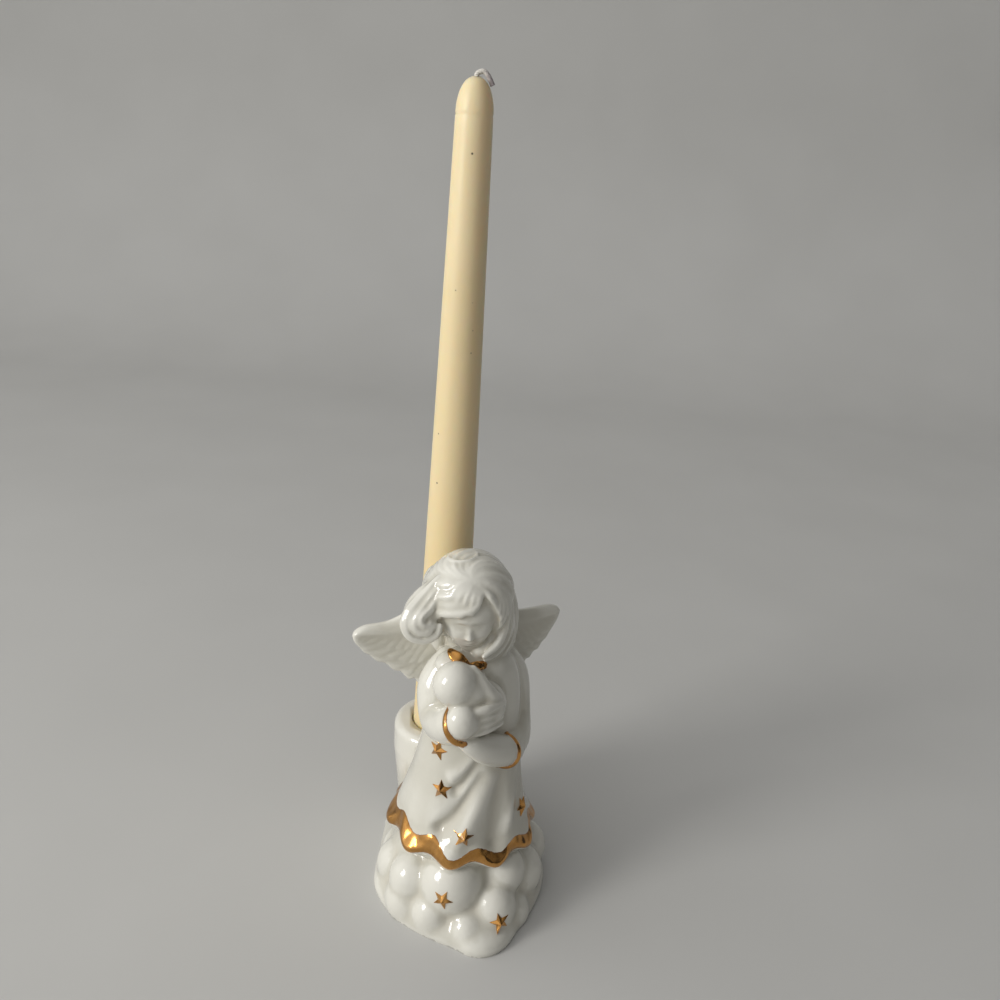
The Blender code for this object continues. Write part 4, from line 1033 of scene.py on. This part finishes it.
def porcelain_material():
    """Ivory glaze with painted shade in hollows (darker and warmer, also standing for glaze pooling
    there) and painted light on proud parts, with worn gold lustre where the mark says so.
    """
    n = Nodes(bpy.data.materials.new("glazed_porcelain"))
    edge = n.add("ShaderNodeAttribute", attribute_name="gold_edge").outputs["Fac"]
    hollow = n.add("ShaderNodeAttribute", attribute_name="hollow").outputs["Fac"]
    ragged = n.math("ADD", edge, n.ramp(n.noise(900, 3), 0.3, 0.7, -0.12, 0.12))
    gold = n.ramp(ragged, 0.06, -0.06)
    glaze = n.mix(n.ramp(n.noise(60, 4), 0.35, 0.65), (0.575, 0.556, 0.481), (0.600, 0.582, 0.508))
    # Painted shade: hollows darker and warmer, partly standing for glaze pooling there
    glaze = n.mix(n.ramp(hollow, 0.0, 0.9, 0.0, 0.40), glaze, (0.520, 0.480, 0.390))
    # Painted light: proud parts of the glaze lighter
    glaze = n.mix(n.ramp(hollow, -0.05, -0.7, 0.0, 0.6), glaze, (0.760, 0.745, 0.680))
    metal = n.mix(n.ramp(n.noise(220, 3), 0.35, 0.68), (0.47, 0.225, 0.052), (0.68, 0.355, 0.105))
    worn = n.ramp(n.noise(1500, 4), 0.66, 0.74)
    metal = n.mix(worn, metal, (0.16, 0.085, 0.045))
    thin = n.ramp(ragged, -0.30, -0.02)
    metal = n.mix(n.math("MULTIPLY", thin, 0.55), metal, (0.50, 0.20, 0.16))
    n.link(n.mix(gold, glaze, metal), "Base Color")
    n.link(gold, "Metallic")
    rough = n.ramp(n.noise(120, 2), 0.3, 0.7, 0.10, 0.16)
    gold_rough = n.ramp(n.noise(500, 3), 0.3, 0.7, 0.12, 0.24)
    n.link(n.mix(gold, rough, gold_rough, "FLOAT"), "Roughness")
    n.set(IOR=1.52, Coat_Weight=0.35, Coat_Roughness=0.05, Coat_IOR=1.5)
    soft = n.noise(260, 2)
    ruffle = n.noise(150, 1, (1.0, 1.0, 0.6))
    ripple = n.math("MULTIPLY", soft, 1.8)
    n.bump(n.mix(gold, ripple, n.math("MULTIPLY", ruffle, 26.0), "FLOAT"), 0.00010, 0.7)
    return n.owner


def wax_material():
    """Cream wax, a little paler up the taper, with fine dents and a few dark specks."""
    n = Nodes(bpy.data.materials.new("candle_wax"))
    place = n.add("ShaderNodeTexCoord").outputs["Object"]
    height = n.add("ShaderNodeSeparateXYZ", {"Vector": place}).outputs["Z"]
    wax = n.mix(n.ramp(height, 0.05, 0.30), (0.730, 0.590, 0.330), (0.800, 0.690, 0.450))
    wax = n.mix(n.ramp(n.noise(45, 3, (1.0, 1.0, 0.35)), 0.3, 0.7, 0.0, 0.35), wax, (0.720, 0.570, 0.310))
    specks = n.add("ShaderNodeTexVoronoi", {"Vector": place, "Scale": 95.0}).outputs["Distance"]
    wax = n.mix(n.ramp(specks, 0.045, 0.02), wax, (0.12, 0.09, 0.05))
    n.link(wax, "Base Color")
    n.link(n.ramp(n.noise(150, 3), 0.3, 0.7, 0.34, 0.50), "Roughness")
    n.set(Subsurface_Weight=0.55, Subsurface_Scale=0.008, Subsurface_Radius=(1.0, 0.6, 0.3), IOR=1.44,
          Coat_Weight=0.08, Coat_Roughness=0.3)
    n.bump(n.noise(420, 3, (1.0, 1.0, 0.5)), 0.00012, 0.5)
    return n.owner


def wick_material():
    """Unburnt braided cotton, greyer towards its folded end."""
    n = Nodes(bpy.data.materials.new("wick_cotton"))
    place = n.add("ShaderNodeTexCoord").outputs["Object"]
    across = n.add("ShaderNodeSeparateXYZ", {"Vector": place}).outputs["X"]
    cotton = n.mix(n.ramp(across, 0.0012, 0.0042), (0.78, 0.75, 0.68), (0.36, 0.31, 0.32))
    threads = n.add("ShaderNodeTexWave", {"Vector": place, "Scale": 700.0, "Distortion": 2.0},
                    bands_direction="DIAGONAL").outputs["Fac"]
    n.link(n.mix(n.ramp(threads, 0.0, 1.0, 0.0, 0.35), cotton, (0.30, 0.27, 0.25)), "Base Color")
    n.set(Roughness=0.92, Sheen_Weight=0.3)
    n.bump(threads, 0.00012, 0.8)
    return n.owner


def floor_material():
    """Plain pale ground that keeps the shadow."""
    n = Nodes(bpy.data.materials.new("studio_ground"))
    n.link(n.mix(n.ramp(n.noise(9, 2), 0.3, 0.7), (0.525, 0.52, 0.50), (0.545, 0.54, 0.52)), "Base Color")
    n.set(Roughness=0.7)
    return n.owner


def make_ground():
    """Pale floor that sweeps up behind into a plain backdrop."""
    width, front, back, bend, height = 3.0, -1.6, 1.1, 0.35, 1.7
    profile = [(front, 0.0), (back - bend, 0.0)]
    for k in range(1, 13):
        turn = pi / 2 * k / 12
        profile.append((back - bend + bend * sin(turn), bend - bend * cos(turn)))
    profile.append((back, height))
    shape = bmesh.new()
    left = [shape.verts.new((-width, y, z)) for y, z in profile]
    right = [shape.verts.new((width, y, z)) for y, z in profile]
    for k in range(len(profile) - 1):
        shape.faces.new((left[k], right[k], right[k + 1], left[k + 1]))
    turn = Matrix.Rotation(radians(-24), 4, "Z")
    bmesh.ops.transform(shape, matrix=turn, verts=shape.verts)
    ground = make_object("ground", shape, floor_material())


# Camera of the photograph
CAMERA_PLACE = Vector((-0.1136, -0.2685, 0.2774))
CAMERA_TURN = radians(24)
CAMERA_PITCH = radians(21.3)
CAMERA_ROLL = radians(4.5)
CAMERA_LENS = 32.87


def make_camera():
    """The photograph's viewpoint."""
    lens = assign(bpy.data.cameras.new("camera"), lens=CAMERA_LENS, sensor_width=36, clip_start=0.01)
    camera = bpy.data.objects.new("camera", lens)
    bpy.context.scene.collection.objects.link(camera)
    turned = Matrix.Rotation(-CAMERA_TURN, 4, "Z") @ Matrix.Rotation(pi / 2 - CAMERA_PITCH, 4, "X")
    rolled = turned @ Matrix.Rotation(CAMERA_ROLL, 4, "Z")
    camera.matrix_world = Matrix.Translation(CAMERA_PLACE) @ rolled
    bpy.context.scene.camera = camera


def add_light(name, place, target, size, watts, colour):
    """A soft rectangular lamp that faces the target."""
    lamp = assign(bpy.data.lights.new(name, "AREA"), shape="RECTANGLE", energy=watts, color=colour)
    lamp.size, lamp.size_y = size
    item = bpy.data.objects.new(name, lamp)
    bpy.context.scene.collection.objects.link(item)
    item.location = place
    item.rotation_euler = (Vector(target) - Vector(place)).to_track_quat("-Z", "Y").to_euler()


def make_light():
    """Window light from the left, a weak lamp from the right, and a room that is dark there."""
    target = (0.0, 0.0, 0.10)
    add_light("window", (-1.06, -0.14, 0.52), target, (0.34, 0.46), 6.8, (1.0, 0.985, 0.955))
    add_light("room_side", (0.9, -0.9, 0.5), target, (0.7, 0.7), 0.2, (1.0, 0.95, 0.88))
    bpy.context.scene.world = bpy.data.worlds.new("room")
    n = Nodes(bpy.context.scene.world, "Background")
    direction = n.add("ShaderNodeTexCoord").outputs["Generated"]
    window_side = Vector((-0.86, 0.12, 0.50)).normalized()
    facing = n.add("ShaderNodeVectorMath", {0: direction, 1: window_side}, operation="DOT_PRODUCT")
    walls = n.add("ShaderNodeValToRGB", {"Fac": n.ramp(facing.outputs["Value"], -1.0, 1.0)})
    # How bright the room is from its dark side to the window's side
    levels = ((0.0, 0.02), (0.38, 0.06), (0.60, 0.26), (0.80, 0.95), (1.0, 1.35))
    stops = walls.color_ramp.elements
    while len(stops) < len(levels):
        stops.new(0.5)
    for stop, (place, level) in zip(stops, levels):
        stop.position = place
        stop.color = (level, level, level, 1.0)
    seen = n.add("ShaderNodeLightPath").outputs["Is Camera Ray"]
    n.link(n.mix(seen, walls.outputs["Color"], (0.42, 0.415, 0.40)), "Color")
    n.set(Strength=0.80)


make_figurine(porcelain_material())
make_candle(wax_material())
make_wick(wick_material())
make_ground()
make_camera()
make_light()
bpy.context.scene.view_settings.view_transform = "Standard"
